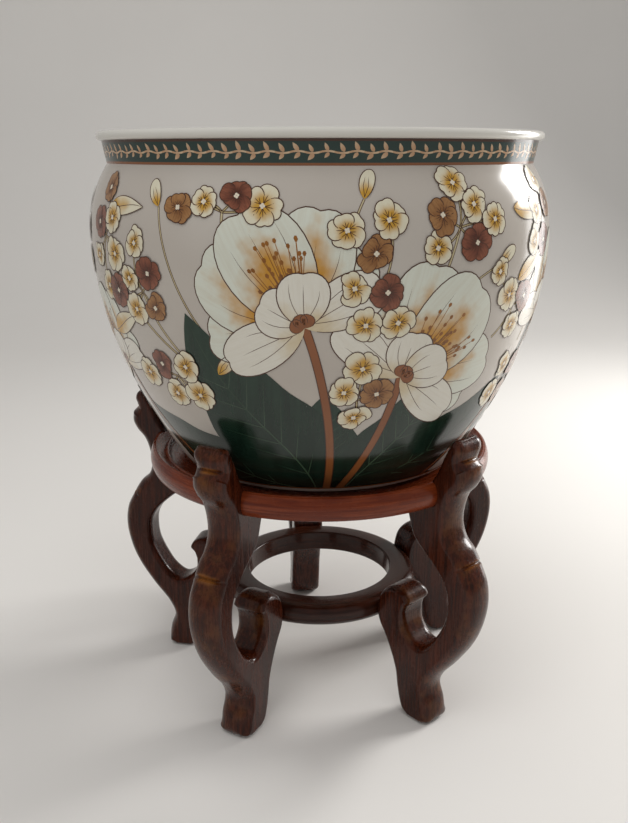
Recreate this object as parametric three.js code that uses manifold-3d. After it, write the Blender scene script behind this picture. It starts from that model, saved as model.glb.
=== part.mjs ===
/**
 * Jardiniere on stand: a round-bellied porcelain fish bowl on a five-legged hardwood stand.
 *
 * Millimetres, +Z up. The origin is on the common axis of bowl and stand, at floor level.
 * -Y is the front, which lies between two of the legs. Each leg is a sawn and rounded board
 * that stands in a plane through the axis, notched to seat the top ring and the lower ring.
 */
import * as THREE from 'three';
import { mergeVertices } from 'three/addons/utils/BufferGeometryUtils.js';
import Module from 'manifold-3d';

// ---------------------------------------------------------------- driving sizes

const FIT = 0.3; // clearance between pieces that seat on each other

// Bowl
const BOWL_HEIGHT = 255.7;
const BELLY_R = 178;
const BELLY_HEIGHT = 178; // above the foot
const BASE_R = 112;
const BASE_ROUND = 4; // rounding where the base turns up into the wall
const BODY_SWELL = 1.87; // exponent of the wall's curve: 2 would be a parabola
const SHOULDER_SWELL = 2.5; // exponent of the shoulder's curve
const CREASE_INSET = 15; // crease under the border, inside the belly
const RIM_HEIGHT = 22.5; // from the crease under the border to the top of the lip
const RIM_FLARE = 3; // how far the border's wall leans out
const LIP_OVERHANG = 3.2; // how far the lip stands out past the border
const LIP_HEIGHT = 6.5;
const LIP_WIDTH = 14;
const WALL = 8;
const FLOOR_THICKNESS = 9;
const FLOOR_ROUND = 18; // inside, where the wall meets the floor
const FOOT_RING_INSET = 6; // foot ring's outer edge, inside the base
const FOOT_RING_WIDTH = 8;
const FOOT_RING_HEIGHT = 3.5;

// Top ring: the bowl's foot stands on its sunk seat.
const RING_UNDER_Z = 190;
const RING_HEIGHT = 19;
const RING_RIM = 17; // wood outside the seat
const RING_BULGE = 3; // how far the outer face swells past its edges
const SEAT_PLAY = 13; // seat's outer edge, outside the bowl's base
const SEAT_WIDTH = 30; // from the ring's hole to the seat's outer edge
const SEAT_DEPTH = 9; // from the ring's top edge down to the seat
const SEAT_BEAD = 4.5; // height and width of the thin bead round the seat

// Lower ring: a plain stretcher ring between the five scrolls.
const LOWER_MID_Z = 82.5;
const LOWER_HEIGHT = 18;
const LOWER_SETBACK = 58; // outer edge, inside the top ring's outer edge
const LOWER_WIDTH = 21.5;
const LOWER_ROUND = 8; // round-over of the outer edges
const LOWER_EASE = 1.5; // softened edges round the hole

// Legs
const LEG_COUNT = 5;
const LEG_THICKNESS = 28;
const LEDGE = 30; // how far the corbel reaches in under the top ring
const HEAD_CLASP = 8; // how far the head laps over the ring's top edge
const SCROLL_BITE = 1; // depth of the lower ring's seat in the scroll
const BELLY_OVERHANG = 35.5; // widest point, outside the top ring
const BELLY_DROP = 16; // widest point below the middle height between the rings
const BELLY_DEPTH = 25; // board left between the belly's outside and its inside
const TOE_INSET = 36.5; // tip of the toe, inside the belly's widest point
const FOOT_DEPTH = 36; // from the toe's tip in to the ankle's inside
const FACE_ROUND = 8.5; // depth of the round-over along the outer face
const INNER_ROUND = 5; // depth along the inner faces
const SCROLL_ROUND = 3.5; // depth where the scroll meets the lower ring
const NOSE_ROUND = 3.5; // depth at the scroll's nose
const SOLE_ROUND = 4; // depth at the sole
const CROWN = 1.5; // a round-over reaches this many times as far across the board as it is deep
const TIGHTEST = 0.8; // largest round-over, as a share of the outline's own radius there
const SEAT_ROUND = 0.6; // the sawn notch is left almost sharp
const GROOVE_WIDTH = 3.6;
const GROOVE_DEPTH = 2;

// Blind dowels
const TOP_DOWEL_R = 4;
const TOP_DOWEL_IN_RING = 9;
const TOP_DOWEL_IN_LEG = 18;
const TOP_DOWEL_INSET = 12; // axis of the dowel inside the ring's outer edge
const LOWER_DOWEL_R = 3.5;
const LOWER_DOWEL_IN_RING = 12;
const LOWER_DOWEL_IN_LEG = 15;

// Facets
const TURN_STEPS = 60;
const DOWEL_STEPS = 12;
const ROUND_STEPS = 3;

// ---------------------------------------------------------------- derived places

const SEAT_OUTER_R = BASE_R + SEAT_PLAY;
const RING_OUTER_R = SEAT_OUTER_R + RING_RIM;
const RING_HOLE_R = SEAT_OUTER_R - SEAT_WIDTH;
const RING_TOP_Z = RING_UNDER_Z + RING_HEIGHT;
const SEAT_Z = RING_TOP_Z - SEAT_DEPTH;
const LOWER_OUTER_R = RING_OUTER_R - LOWER_SETBACK;
const LOWER_HOLE_R = LOWER_OUTER_R - LOWER_WIDTH;
const LOWER_TOP_Z = LOWER_MID_Z + LOWER_HEIGHT / 2;
const LOWER_UNDER_Z = LOWER_MID_Z - LOWER_HEIGHT / 2;
const BELLY_REACH = RING_OUTER_R + BELLY_OVERHANG;
const BELLY_Z = (RING_UNDER_Z + LOWER_MID_Z) / 2 - BELLY_DROP;
const TOE_REACH = BELLY_REACH - TOE_INSET;
const FOOT_Z = SEAT_Z + FIT;
const FOOT_RING_R = BASE_R - FOOT_RING_INSET;
const CREASE_R = BELLY_R - CREASE_INSET;
const CREASE_Z = FOOT_Z + BOWL_HEIGHT - RIM_HEIGHT;
const TOP_DOWEL_U = RING_OUTER_R - TOP_DOWEL_INSET;

// ---------------------------------------------------------------- solids

const wasm = await Module();
wasm.setup();

/** Turns a closed geometry into a solid that can be cut. */
function toSolid(geometry) {
  const bare = geometry.index ? geometry.clone() : mergeVertices(geometry);
  bare.deleteAttribute('normal');
  bare.deleteAttribute('uv');
  const merged = mergeVertices(bare, 1e-4);
  return new wasm.Manifold(new wasm.Mesh({
    numProp: 3,
    vertProperties: new Float32Array(merged.attributes.position.array),
    triVerts: new Uint32Array(merged.index.array),
  }));
}

/** Takes the tools away from a geometry and gives the geometry that is left. */
function cutAway(geometry, tools) {
  let solid = toSolid(geometry);
  for (const tool of tools) solid = solid.subtract(toSolid(tool));
  const mesh = solid.getMesh();
  const result = new THREE.BufferGeometry();
  result.setAttribute('position', new THREE.BufferAttribute(mesh.vertProperties, 3));
  result.setIndex(new THREE.BufferAttribute(mesh.triVerts, 1));
  result.computeVertexNormals();
  return result;
}

/** Revolves a profile of [radius, z] points, counter-clockwise in that plane, round +Z. */
function turned(profile) {
  const points = profile.map(([r, z]) => new THREE.Vector2(r, z));
  return new THREE.LatheGeometry(points, TURN_STEPS).rotateX(Math.PI / 2);
}

/** Points on an arc about [r, z], from one angle to another in degrees. */
function arc(r, z, radius, from, to, steps) {
  return Array.from({ length: steps + 1 }, (_, i) => {
    const angle = THREE.MathUtils.degToRad(THREE.MathUtils.lerp(from, to, i / steps));
    return [r + radius * Math.cos(angle), z + radius * Math.sin(angle)];
  });
}

/** Moves a closed counter-clockwise profile outward by a distance. */
function grown(profile, distance) {
  const count = profile.length;
  const edge = (i) => {
    const [a, b] = [profile[i % count], profile[(i + 1) % count]];
    return new THREE.Vector2(b[1] - a[1], a[0] - b[0]).normalize();
  };
  return profile.map(([r, z], i) => {
    const before = edge(i + count - 1);
    const after = edge(i);
    const mitre = before.clone().add(after);
    mitre.multiplyScalar(distance / Math.max(mitre.dot(after), 0.5));
    return [r + mitre.x, z + mitre.y];
  });
}

/** Closes a profile on its first point. */
const closed = (profile) => [...profile, profile[0]];

// ---------------------------------------------------------------- rings

/** Section of the top ring: swelling face, rounded top edge, dished top, bead and sunk seat. */
function topRingProfile() {
  const edgeR = RING_OUTER_R - RING_BULGE;
  const beadR = SEAT_OUTER_R + SEAT_BEAD;
  const half = RING_HEIGHT / 2;
  const face = [-0.86, -0.45, 0, 0.45, 0.86].map((t) => [
    RING_OUTER_R - RING_BULGE * t * t,
    RING_UNDER_Z + half * (1 + t),
  ]);
  return [
    [RING_HOLE_R, RING_UNDER_Z],
    [edgeR - 1.5, RING_UNDER_Z],
    ...face,
    [edgeR - 1, RING_TOP_Z],
    [edgeR - 3, RING_TOP_Z - 0.4],
    [beadR + 2, SEAT_Z + SEAT_BEAD + 0.2],
    [beadR, SEAT_Z + SEAT_BEAD - 0.4],
    [beadR - 1.5, SEAT_Z + SEAT_BEAD + 0.4],
    [beadR - 3, SEAT_Z + SEAT_BEAD - 0.4],
    [SEAT_OUTER_R, SEAT_Z],
    [RING_HOLE_R, SEAT_Z],
  ];
}

/** Section of the lower ring: straight inner wall and a large round-over outside. */
function lowerRingProfile() {
  const outer = LOWER_OUTER_R - LOWER_ROUND;
  const inner = LOWER_HOLE_R + LOWER_EASE;
  return [
    ...arc(outer, LOWER_UNDER_Z + LOWER_ROUND, LOWER_ROUND, -90, 0, 3),
    ...arc(outer, LOWER_TOP_Z - LOWER_ROUND, LOWER_ROUND, 0, 90, 3),
    ...arc(inner, LOWER_TOP_Z - LOWER_EASE, LOWER_EASE, 90, 180, 1),
    ...arc(inner, LOWER_UNDER_Z + LOWER_EASE, LOWER_EASE, 180, 270, 1),
  ];
}

// ---------------------------------------------------------------- dowels

/** Upright dowel between the corbel and the top ring, in the leg's own plane. */
function topDowel(extra = 0) {
  const length = TOP_DOWEL_IN_RING + TOP_DOWEL_IN_LEG + 2 * extra;
  const middle = RING_UNDER_Z + (TOP_DOWEL_IN_RING - TOP_DOWEL_IN_LEG) / 2;
  return new THREE.CylinderGeometry(TOP_DOWEL_R + extra, TOP_DOWEL_R + extra, length, DOWEL_STEPS)
    .rotateX(Math.PI / 2)
    .translate(TOP_DOWEL_U, 0, middle);
}

/** Level dowel between the lower ring and the scroll, in the leg's own plane. */
function lowerDowel(extra = 0) {
  const length = LOWER_DOWEL_IN_RING + LOWER_DOWEL_IN_LEG + 2 * extra;
  const middle = LOWER_OUTER_R + (LOWER_DOWEL_IN_LEG - LOWER_DOWEL_IN_RING) / 2;
  return new THREE.CylinderGeometry(LOWER_DOWEL_R + extra, LOWER_DOWEL_R + extra, length, DOWEL_STEPS)
    .rotateZ(Math.PI / 2)
    .translate(middle, 0, LOWER_MID_Z);
}

/** Turn of a leg about the axis: the first leg is half a step right of the front. */
const legTurn = (index) => -Math.PI / 2 + ((index + 0.5) * 2 * Math.PI) / LEG_COUNT;

/** The same geometry at each leg's place round the axis. */
const roundTheAxis = (make) => Array.from({ length: LEG_COUNT }, (_, i) => make().rotateZ(legTurn(i)));

// ---------------------------------------------------------------- legs

// Stations of the leg's outline are [reach from the axis, height, round-over], each stretch
// measured from the piece that it belongs to.
const atToe = (u, z, round) => [TOE_REACH + u, z, round];
const atHeel = (u, z, round) => [TOE_REACH - FOOT_DEPTH + u, z, round];
const atBelly = (u, z, round) => [BELLY_REACH + u, BELLY_Z + z, round];
const atBellyInside = (u, z, round) => [BELLY_REACH - BELLY_DEPTH + u, BELLY_Z + z, round];
const atRing = (u, z, round) => [RING_OUTER_R + u, RING_UNDER_Z + z, round];
const atRingTop = (u, z, round) => [RING_OUTER_R + u, RING_TOP_Z + z, round];
const atLedge = (u, z, round) => [RING_OUTER_R - LEDGE + u, RING_UNDER_Z + z, round];
const atScroll = (u, z, round) => [LOWER_OUTER_R - SCROLL_BITE + u, LOWER_MID_Z + z, round];

/** The stations just below and just above a groove that crosses the outline at an angle. */
function grooveEnds([u, z, round], degrees) {
  const angle = THREE.MathUtils.degToRad(degrees);
  const [du, dz] = [(Math.cos(angle) * GROOVE_WIDTH) / 2, (Math.sin(angle) * GROOVE_WIDTH) / 2];
  return { below: [u - du, z - dz, round], above: [u + du, z + dz, round] };
}

/**
 * Stretches of the leg's outline, counter-clockwise: reach to the right, height up. A smooth
 * curve runs through each stretch's stations, and `points` is how many steps it leaves.
 */
function legStretches() {
  const cuff = grooveEnds(atRing(25.8, -40.5, FACE_ROUND), 119);
  const neck = grooveEnds(atRingTop(19, 20.3, FACE_ROUND), 104);
  return {
    belly: {
      points: 15,
      stations: [
        atToe(-8, 0, SOLE_ROUND),
        atToe(-2, 2.8, 5),
        atToe(0, 9, FACE_ROUND),
        atToe(-1.5, 18, FACE_ROUND),
        atToe(-5.5, 30, FACE_ROUND),
        atToe(-1, 42, FACE_ROUND),
        atBelly(-23.5, -60, FACE_ROUND),
        atBelly(-10.5, -40, FACE_ROUND),
        atBelly(-3.5, -23, FACE_ROUND),
        atBelly(0, -3, FACE_ROUND),
        atBelly(-2, 14, FACE_ROUND),
        cuff.below,
      ],
    },
    waist: {
      points: 10,
      stations: [
        cuff.above,
        atRing(19.5, -31, FACE_ROUND),
        atRing(12, -24, FACE_ROUND),
        atRing(8.5, -14, FACE_ROUND),
        atRing(9.5, -2, FACE_ROUND),
        atRing(13.5, 10, FACE_ROUND),
        atRingTop(20, -1, FACE_ROUND),
        atRingTop(23.5, 7, FACE_ROUND),
        atRingTop(22.5, 14.5, FACE_ROUND),
        neck.below,
      ],
    },
    knob: {
      points: 5,
      stations: [
        neck.above,
        atRingTop(19, 28, 6),
        atRingTop(16, 33.5, 4),
        atRingTop(11.5, 35.5, INNER_ROUND),
        atRingTop(8, 34, INNER_ROUND),
      ],
    },
    bowlSide: {
      points: 3,
      stations: [
        atRingTop(6, 30.5, INNER_ROUND),
        atRingTop(1, 20, INNER_ROUND),
        atRingTop(-3.5, 9, INNER_ROUND),
        atRingTop(-HEAD_CLASP, -2.5, SEAT_ROUND),
      ],
    },
    notch: {
      points: 1,
      stations: [atRing(-HEAD_CLASP, -FIT, SEAT_ROUND), atLedge(0, -FIT, SEAT_ROUND)],
    },
    corbel: {
      points: 15,
      stations: [
        atLedge(0.3, -8, 2),
        atLedge(1, -18, INNER_ROUND),
        atLedge(4.5, -28, INNER_ROUND),
        atLedge(11, -36, INNER_ROUND),
        atLedge(19, -42, INNER_ROUND),
        atBellyInside(-14, 21.5, INNER_ROUND),
        atBellyInside(-6, 13, INNER_ROUND),
        atBellyInside(-1.2, 4, INNER_ROUND),
        atBellyInside(0, -7, INNER_ROUND),
        atBellyInside(-1.5, -20, INNER_ROUND),
        atScroll(60.5, 1.5, INNER_ROUND),
        atScroll(53.5, -8.5, INNER_ROUND),
        atScroll(44, -15, INNER_ROUND),
        atScroll(35, -11.5, INNER_ROUND),
        atScroll(28.5, -2.5, INNER_ROUND),
        atScroll(27.3, 7.5, NOSE_ROUND),
      ],
    },
    nose: {
      points: 12,
      stations: [
        atScroll(29, 13, NOSE_ROUND),
        atScroll(32.5, 18, NOSE_ROUND),
        atScroll(29.5, 23.5, NOSE_ROUND),
        atScroll(20.5, 27, INNER_ROUND),
        atScroll(11, 25, INNER_ROUND),
        atScroll(4.5, 18.5, SCROLL_ROUND),
        atScroll(1, 9.5, SCROLL_ROUND),
        atScroll(0, 0, SCROLL_ROUND),
        atScroll(2.3, -8.5, SCROLL_ROUND),
        atScroll(7.5, -18.5, INNER_ROUND),
        atHeel(-7, 50, INNER_ROUND),
        atHeel(-2, 37, INNER_ROUND),
        atHeel(0, 25, INNER_ROUND),
        atHeel(3, 12, INNER_ROUND),
        atHeel(7.5, 4, SOLE_ROUND),
        atHeel(14, 0, SOLE_ROUND),
      ],
    },
  };
}

/** The outline as points { u, z, round, cut }, where `cut` is the depth of a groove there. */
function legOutline() {
  const { belly, waist, knob, bowlSide, notch, corbel, nose } = legStretches();
  const drawn = ({ points, stations }) =>
    new THREE.CatmullRomCurve3(stations.map((s) => new THREE.Vector3(...s)), false, 'centripetal')
      .getPoints(points)
      .map(({ x, y, z }) => ({ u: x, z: y, round: z, cut: 0 }));
  const groove = (before, after) => ({
    u: (before.u + after.u) / 2,
    z: (before.z + after.z) / 2,
    round: before.round,
    cut: GROOVE_DEPTH,
  });
  const [bellyRun, waistRun, knobRun] = [belly, waist, knob].map(drawn);
  return [
    ...bellyRun,
    groove(bellyRun.at(-1), waistRun[0]),
    ...waistRun,
    groove(waistRun.at(-1), knobRun[0]),
    ...knobRun,
    ...[bowlSide, notch, corbel, nose].flatMap(drawn),
  ];
}

/** Holds each round-over below the outline's own radius where the outline turns tightly. */
function eased(outline) {
  const count = outline.length;
  return outline.map((middle, i) => {
    const [before, after] = [outline[(i + count - 1) % count], outline[(i + 1) % count]];
    const come = new THREE.Vector2(middle.u - before.u, middle.z - before.z);
    const go = new THREE.Vector2(after.u - middle.u, after.z - middle.z);
    const bend = Math.atan2(come.cross(go), come.dot(go));
    const radius = bend > 0.01 ? (come.length() + go.length()) / 2 / bend : Infinity;
    return { ...middle, round: Math.min(middle.round, radius * TIGHTEST) };
  });
}

/**
 * A board with the outline as its middle, drawn in towards each flat side by the round-over
 * of each point. A groove follows the rounded face and fades out at the sides.
 */
function carvedBoard(outline, thickness) {
  const count = outline.length;
  const point = (i) => outline[(i + count) % count];
  const inward = outline.map((_, i) => {
    const [a, b] = [point(i - 1), point(i + 1)];
    return new THREE.Vector2(a.z - b.z, b.u - a.u).normalize();
  });
  const rows = [];
  for (const side of [-1, 1]) {
    for (let step = 0; step <= ROUND_STEPS; step += 1) {
      const angle = ((side < 0 ? ROUND_STEPS - step : step) / ROUND_STEPS) * (Math.PI / 2);
      rows.push(outline.map(({ u, z, round, cut }, i) => {
        const depth = round * (1 - Math.cos(angle)) + cut * Math.cos(angle);
        const across = thickness / 2 - round * CROWN * (1 - Math.sin(angle));
        return [u + inward[i].x * depth, side * across, z + inward[i].y * depth];
      }));
    }
  }
  const faces = [];
  for (let row = 0; row < rows.length - 1; row += 1) {
    for (let i = 0; i < count; i += 1) {
      const next = (i + 1) % count;
      const [a, b] = [row * count + i, row * count + next];
      const [c, d] = [a + count, b + count];
      faces.push(a, d, b, a, c, d);
    }
  }
  const flat = (row) => rows[row].map(([u, , z]) => new THREE.Vector2(u, z));
  const last = rows.length - 1;
  for (const [a, b, c] of THREE.ShapeUtils.triangulateShape(flat(0), [])) faces.push(a, b, c);
  for (const [a, b, c] of THREE.ShapeUtils.triangulateShape(flat(last), [])) {
    faces.push(last * count + a, last * count + c, last * count + b);
  }
  const geometry = new THREE.BufferGeometry();
  geometry.setAttribute('position', new THREE.Float32BufferAttribute(rows.flat(2), 3));
  geometry.setIndex(faces);
  return geometry;
}

/** One leg in the plane of +X, with its two seats and its two dowel holes. */
function leg() {
  return cutAway(carvedBoard(eased(legOutline()), LEG_THICKNESS), [
    turned(closed(grown(topRingProfile(), FIT))),
    turned(closed(grown(lowerRingProfile(), FIT))),
    topDowel(FIT),
    lowerDowel(FIT),
  ]);
}

// ---------------------------------------------------------------- bowl

/** Radius of the bowl's outside at a height above its foot, from the base to the crease. */
function bodyRadius(height) {
  const crease = CREASE_Z - FOOT_Z;
  if (height < BELLY_HEIGHT) {
    return BASE_R + (BELLY_R - BASE_R) * (1 - (1 - height / BELLY_HEIGHT) ** BODY_SWELL);
  }
  const up = (height - BELLY_HEIGHT) / (crease - BELLY_HEIGHT);
  return BELLY_R - (BELLY_R - CREASE_R) * up ** SHOULDER_SWELL;
}

/** Section of the bowl from the axis under the base, up the outside, over the lip and back in. */
function bowlProfile() {
  const crease = CREASE_Z - FOOT_Z;
  const lipZ = FOOT_Z + BOWL_HEIGHT;
  const borderR = CREASE_R + RIM_FLARE;
  const lipR = borderR + LIP_OVERHANG;
  const footInner = FOOT_RING_R - FOOT_RING_WIDTH;
  const floorZ = FOOT_RING_HEIGHT + FLOOR_THICKNESS;
  const bodySteps = [0.1, 0.24, 0.39, 0.54, 0.69, 0.84, 1].map((t) => t * BELLY_HEIGHT);
  const shoulderSteps = [0.35, 0.62, 0.84, 1]
    .map((t) => THREE.MathUtils.lerp(BELLY_HEIGHT, crease, t));
  const wall = [...bodySteps, ...shoulderSteps];
  const insideWall = wall.filter((h, i) => i % 2 && h > floorZ + FLOOR_ROUND).reverse();
  const floorEdge = bodyRadius(floorZ + FLOOR_ROUND) - WALL - FLOOR_ROUND;
  return [
    [0, FOOT_Z + FOOT_RING_HEIGHT],
    [footInner, FOOT_Z + FOOT_RING_HEIGHT],
    [footInner + 0.8, FOOT_Z],
    [FOOT_RING_R, FOOT_Z],
    [BASE_R - 1.5, FOOT_Z + 1.5],
    [bodyRadius(BASE_ROUND), FOOT_Z + BASE_ROUND],
    ...wall.map((h) => [bodyRadius(h), FOOT_Z + h]),
    [borderR, lipZ - LIP_HEIGHT],
    ...arc(lipR - LIP_HEIGHT / 2, lipZ - LIP_HEIGHT / 2, LIP_HEIGHT / 2, -70, 90, 3),
    [lipR - LIP_WIDTH + 2, lipZ],
    [lipR - LIP_WIDTH, lipZ - 2],
    [lipR - LIP_WIDTH, lipZ - LIP_HEIGHT - 1],
    [CREASE_R - WALL, FOOT_Z + crease],
    ...insideWall.map((h) => [bodyRadius(h) - WALL, FOOT_Z + h]),
    ...arc(floorEdge, FOOT_Z + floorZ + FLOOR_ROUND, FLOOR_ROUND, 0, -90, 3),
    [0, FOOT_Z + floorZ],
  ];
}

// ---------------------------------------------------------------- materials

const finish = (color, roughness) => new THREE.MeshStandardMaterial({ color, roughness, metalness: 0 });
const porcelain = () => finish('#d8d4cb', 0.14);
const ringWood = () => finish('#6e3322', 0.38);
const lowerRingWood = () => finish('#38201a', 0.34);
const legWood = () => finish('#4f261b', 0.36);
const dowelWood = () => finish('#a98458', 0.7);

// ---------------------------------------------------------------- assembly

const jardiniere = new THREE.Group();

/** Adds one named piece. */
function add(name, geometry, material) {
  const mesh = new THREE.Mesh(geometry, material);
  mesh.name = name;
  jardiniere.add(mesh);
  return mesh;
}

const topHoles = () => roundTheAxis(() => topDowel(FIT));
const lowerHoles = () => roundTheAxis(() => lowerDowel(FIT));

add('bowl', turned(bowlProfile()), porcelain());
add('top_ring', cutAway(turned(closed(topRingProfile())), topHoles()), ringWood());
add('lower_ring', cutAway(turned(closed(lowerRingProfile())), lowerHoles()), lowerRingWood());

for (let i = 0; i < LEG_COUNT; i += 1) {
  add(`leg_${i + 1}`, leg(), legWood()).rotation.z = legTurn(i);
  add(`top_dowel_${i + 1}`, topDowel(), dowelWood()).rotation.z = legTurn(i);
  add(`lower_dowel_${i + 1}`, lowerDowel(), dowelWood()).rotation.z = legTurn(i);
}

export default jardiniere;
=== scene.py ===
"""Porcelain fish-bowl jardiniere on a five-legged hardwood stand, dressed for rendering.

Sizes are in millimetres in the classes and in metres in the meshes. +Z is up, the axis of
bowl and stand is at x = y = 0, and -Y is the front, which lies between two of the legs.
"""

import logging
import math
from bisect import bisect_right
from dataclasses import dataclass, field, replace
from enum import Enum
from random import Random
from typing import Dict, List, Optional, Sequence, Tuple, Union

import bmesh
import bpy
from mathutils import Matrix, Vector
from mathutils.geometry import interpolate_bezier

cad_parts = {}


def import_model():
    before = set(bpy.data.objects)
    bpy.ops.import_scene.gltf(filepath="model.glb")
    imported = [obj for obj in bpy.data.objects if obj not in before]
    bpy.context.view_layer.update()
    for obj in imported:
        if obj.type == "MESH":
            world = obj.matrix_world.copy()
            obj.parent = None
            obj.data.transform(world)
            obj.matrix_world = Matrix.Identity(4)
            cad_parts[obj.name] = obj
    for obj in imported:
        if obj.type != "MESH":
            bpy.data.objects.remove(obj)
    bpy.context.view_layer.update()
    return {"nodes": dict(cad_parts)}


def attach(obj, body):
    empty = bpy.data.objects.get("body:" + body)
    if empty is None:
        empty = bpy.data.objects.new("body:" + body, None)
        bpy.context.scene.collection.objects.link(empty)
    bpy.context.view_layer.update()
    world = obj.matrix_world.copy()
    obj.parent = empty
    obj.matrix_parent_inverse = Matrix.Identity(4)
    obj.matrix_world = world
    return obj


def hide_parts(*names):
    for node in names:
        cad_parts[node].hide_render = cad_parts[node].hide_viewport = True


Colour = Tuple[float, float, float, float]
Point = Tuple[float, float]
Triple = Tuple[float, float, float]
CutStation = Tuple[float, float, float, float]
Mesh = bmesh.types.BMesh

MM = 0.001
# A turned mesh is made as one sector and its copies; the steps are those of the full turn.
SECTORS = 8
BOWL_STEPS = 288
RING_STEPS = 240
# Edges of turned pieces that are sharper than this many degrees stay hard.
SHARP = 40.0
# Side of the camera's sensor in millimetres.
SENSOR = 36.0
LOG = logging.getLogger("jardiniere")


def screen(red: int, green: int, blue: int) -> Colour:
    """Turns an 8-bit screen colour into a linear one.

    Args:
        red: Red, 0 to 255.
        green: Green, 0 to 255.
        blue: Blue, 0 to 255.

    Returns:
        The linear colour, opaque.
    """
    shares = (red / 255, green / 255, blue / 255)
    return tuple(c / 12.92 if c <= 0.04 else ((c + 0.055) / 1.055) ** 2.4 for c in shares) + (1.0,)


# ---------------------------------------------------------------- shader expressions


class Signal:
    """A shader socket that takes part in Python arithmetic."""

    def __init__(self, recipe: "Recipe", socket: bpy.types.NodeSocket) -> None:
        """Wraps one output socket of a recipe's tree."""
        self.recipe = recipe
        self.socket = socket

    def _math(self, operation: str, first: "Number", second: "Number") -> "Signal":
        """Adds a Math node on two values."""
        return self.recipe.node("ShaderNodeMath", {"operation": operation}, {0: first, 1: second})

    def __add__(self, other: "Number") -> "Signal":
        """Sum."""
        return self._math("ADD", self, other)

    def __sub__(self, other: "Number") -> "Signal":
        """Difference."""
        return self._math("SUBTRACT", self, other)

    def __mul__(self, other: "Number") -> "Signal":
        """Product."""
        return self._math("MULTIPLY", self, other)

    def size(self) -> "Signal":
        """Distance from zero."""
        return self._math("ABSOLUTE", self, 0.0)

    def between(self, low: float, high: float) -> "Signal":
        """0 at `low` and 1 at `high`, smooth between them and level outside."""
        inputs = {"Value": self, "From Min": low, "From Max": high}
        return self.recipe.node("ShaderNodeMapRange", {"interpolation_type": "SMOOTHSTEP"}, inputs)


Number = Union[Signal, float]


class Recipe:
    """The node tree of one material, written as expressions."""

    def __init__(self, name: str) -> None:
        """Starts a material with one Principled shader and its output.

        Args:
            name: The material's name.
        """
        self.material = bpy.data.materials.new(name)
        self.material.use_nodes = True
        self.tree = self.material.node_tree
        self.tree.nodes.clear()
        self.shader = self.tree.nodes.new("ShaderNodeBsdfPrincipled")
        output = self.tree.nodes.new("ShaderNodeOutputMaterial")
        self.tree.links.new(self.shader.outputs[0], output.inputs[0])

    def node(self, kind: str, settings: Optional[Dict[str, object]] = None,
             inputs: Optional[Dict[Union[int, str], object]] = None, output: Union[int, str] = 0) -> Signal:
        """Adds a node.

        Args:
            kind: The node's type.
            settings: Its own settings, which are set first.
            inputs: Values or signals of its input sockets.
            output: The output socket to give back.

        Returns:
            The signal of that output.
        """
        made = self.tree.nodes.new(kind)
        for key, value in (settings or {}).items():
            setattr(made, key, value)
        for key, value in (inputs or {}).items():
            self.feed(made.inputs[key], value)
        return Signal(self, made.outputs[output])

    def feed(self, socket: bpy.types.NodeSocket, value: object) -> None:
        """Links a signal to a socket, or sets the socket's own value.

        Args:
            socket: An input socket.
            value: The signal or the plain value.
        """
        if isinstance(value, Signal):
            self.tree.links.new(value.socket, socket)
        else:
            socket.default_value = value

    def place(self) -> Signal:
        """Object coordinates."""
        return self.node("ShaderNodeTexCoord", output="Object")

    def attribute(self, name: str) -> Signal:
        """A vector attribute of the mesh."""
        return self.node("ShaderNodeAttribute", {"attribute_name": name}, output="Vector")

    def parts(self, vector: Signal) -> Tuple[Signal, Signal, Signal]:
        """The three numbers of a vector.

        Args:
            vector: The vector.

        Returns:
            Its x, y and z.
        """
        first = self.node("ShaderNodeSeparateXYZ", inputs={0: vector})
        outputs = first.socket.node.outputs
        return first, Signal(self, outputs[1]), Signal(self, outputs[2])

    def stretch(self, vector: Signal, x: float, y: float, z: float) -> Signal:
        """A vector with each direction scaled by its own number."""
        return self.node("ShaderNodeVectorMath", {"operation": "MULTIPLY"}, {0: vector, 1: (x, y, z)})

    def noise(self, vector: Signal, scale: float, detail: float = 2.0, rough: float = 0.5) -> Signal:
        """Noise from 0 to 1 about 0.5."""
        inputs = {"Vector": vector, "Scale": scale, "Detail": detail, "Roughness": rough}
        return self.node("ShaderNodeTexNoise", inputs=inputs)

    def mix(self, factor: Number, first: object, second: object) -> Signal:
        """A colour between two colours."""
        return self.node("ShaderNodeMix", {"data_type": "RGBA"}, {0: factor, 6: first, 7: second}, 2)

    def multiply(self, factor: Number, first: object, second: object) -> Signal:
        """A colour multiplied by another, by a share."""
        settings = {"data_type": "RGBA", "blend_type": "MULTIPLY"}
        return self.node("ShaderNodeMix", settings, {0: factor, 6: first, 7: second}, 2)

    def dress(self, colour: object, roughness: Number, height: Optional[Signal] = None,
              relief: float = 0.0, **constants: float) -> bpy.types.Material:
        """Sets the shader.

        Args:
            colour: Base colour.
            roughness: Roughness.
            height: Height of the surface's relief, 0 to 1.
            relief: How deep that relief is, in millimetres.
            **constants: Shader sockets that are the same all over, with _ for a space.

        Returns:
            The finished material.
        """
        self.feed(self.shader.inputs["Base Color"], colour)
        self.feed(self.shader.inputs["Roughness"], roughness)
        if height is not None:
            bump = self.node("ShaderNodeBump", inputs={"Distance": relief * MM, "Height": height})
            self.feed(self.shader.inputs["Normal"], bump)
        for key, value in constants.items():
            self.shader.inputs[key.replace("_", " ").title().replace("Ior", "IOR")].default_value = value
        return self.material


# ---------------------------------------------------------------- finishes


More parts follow.
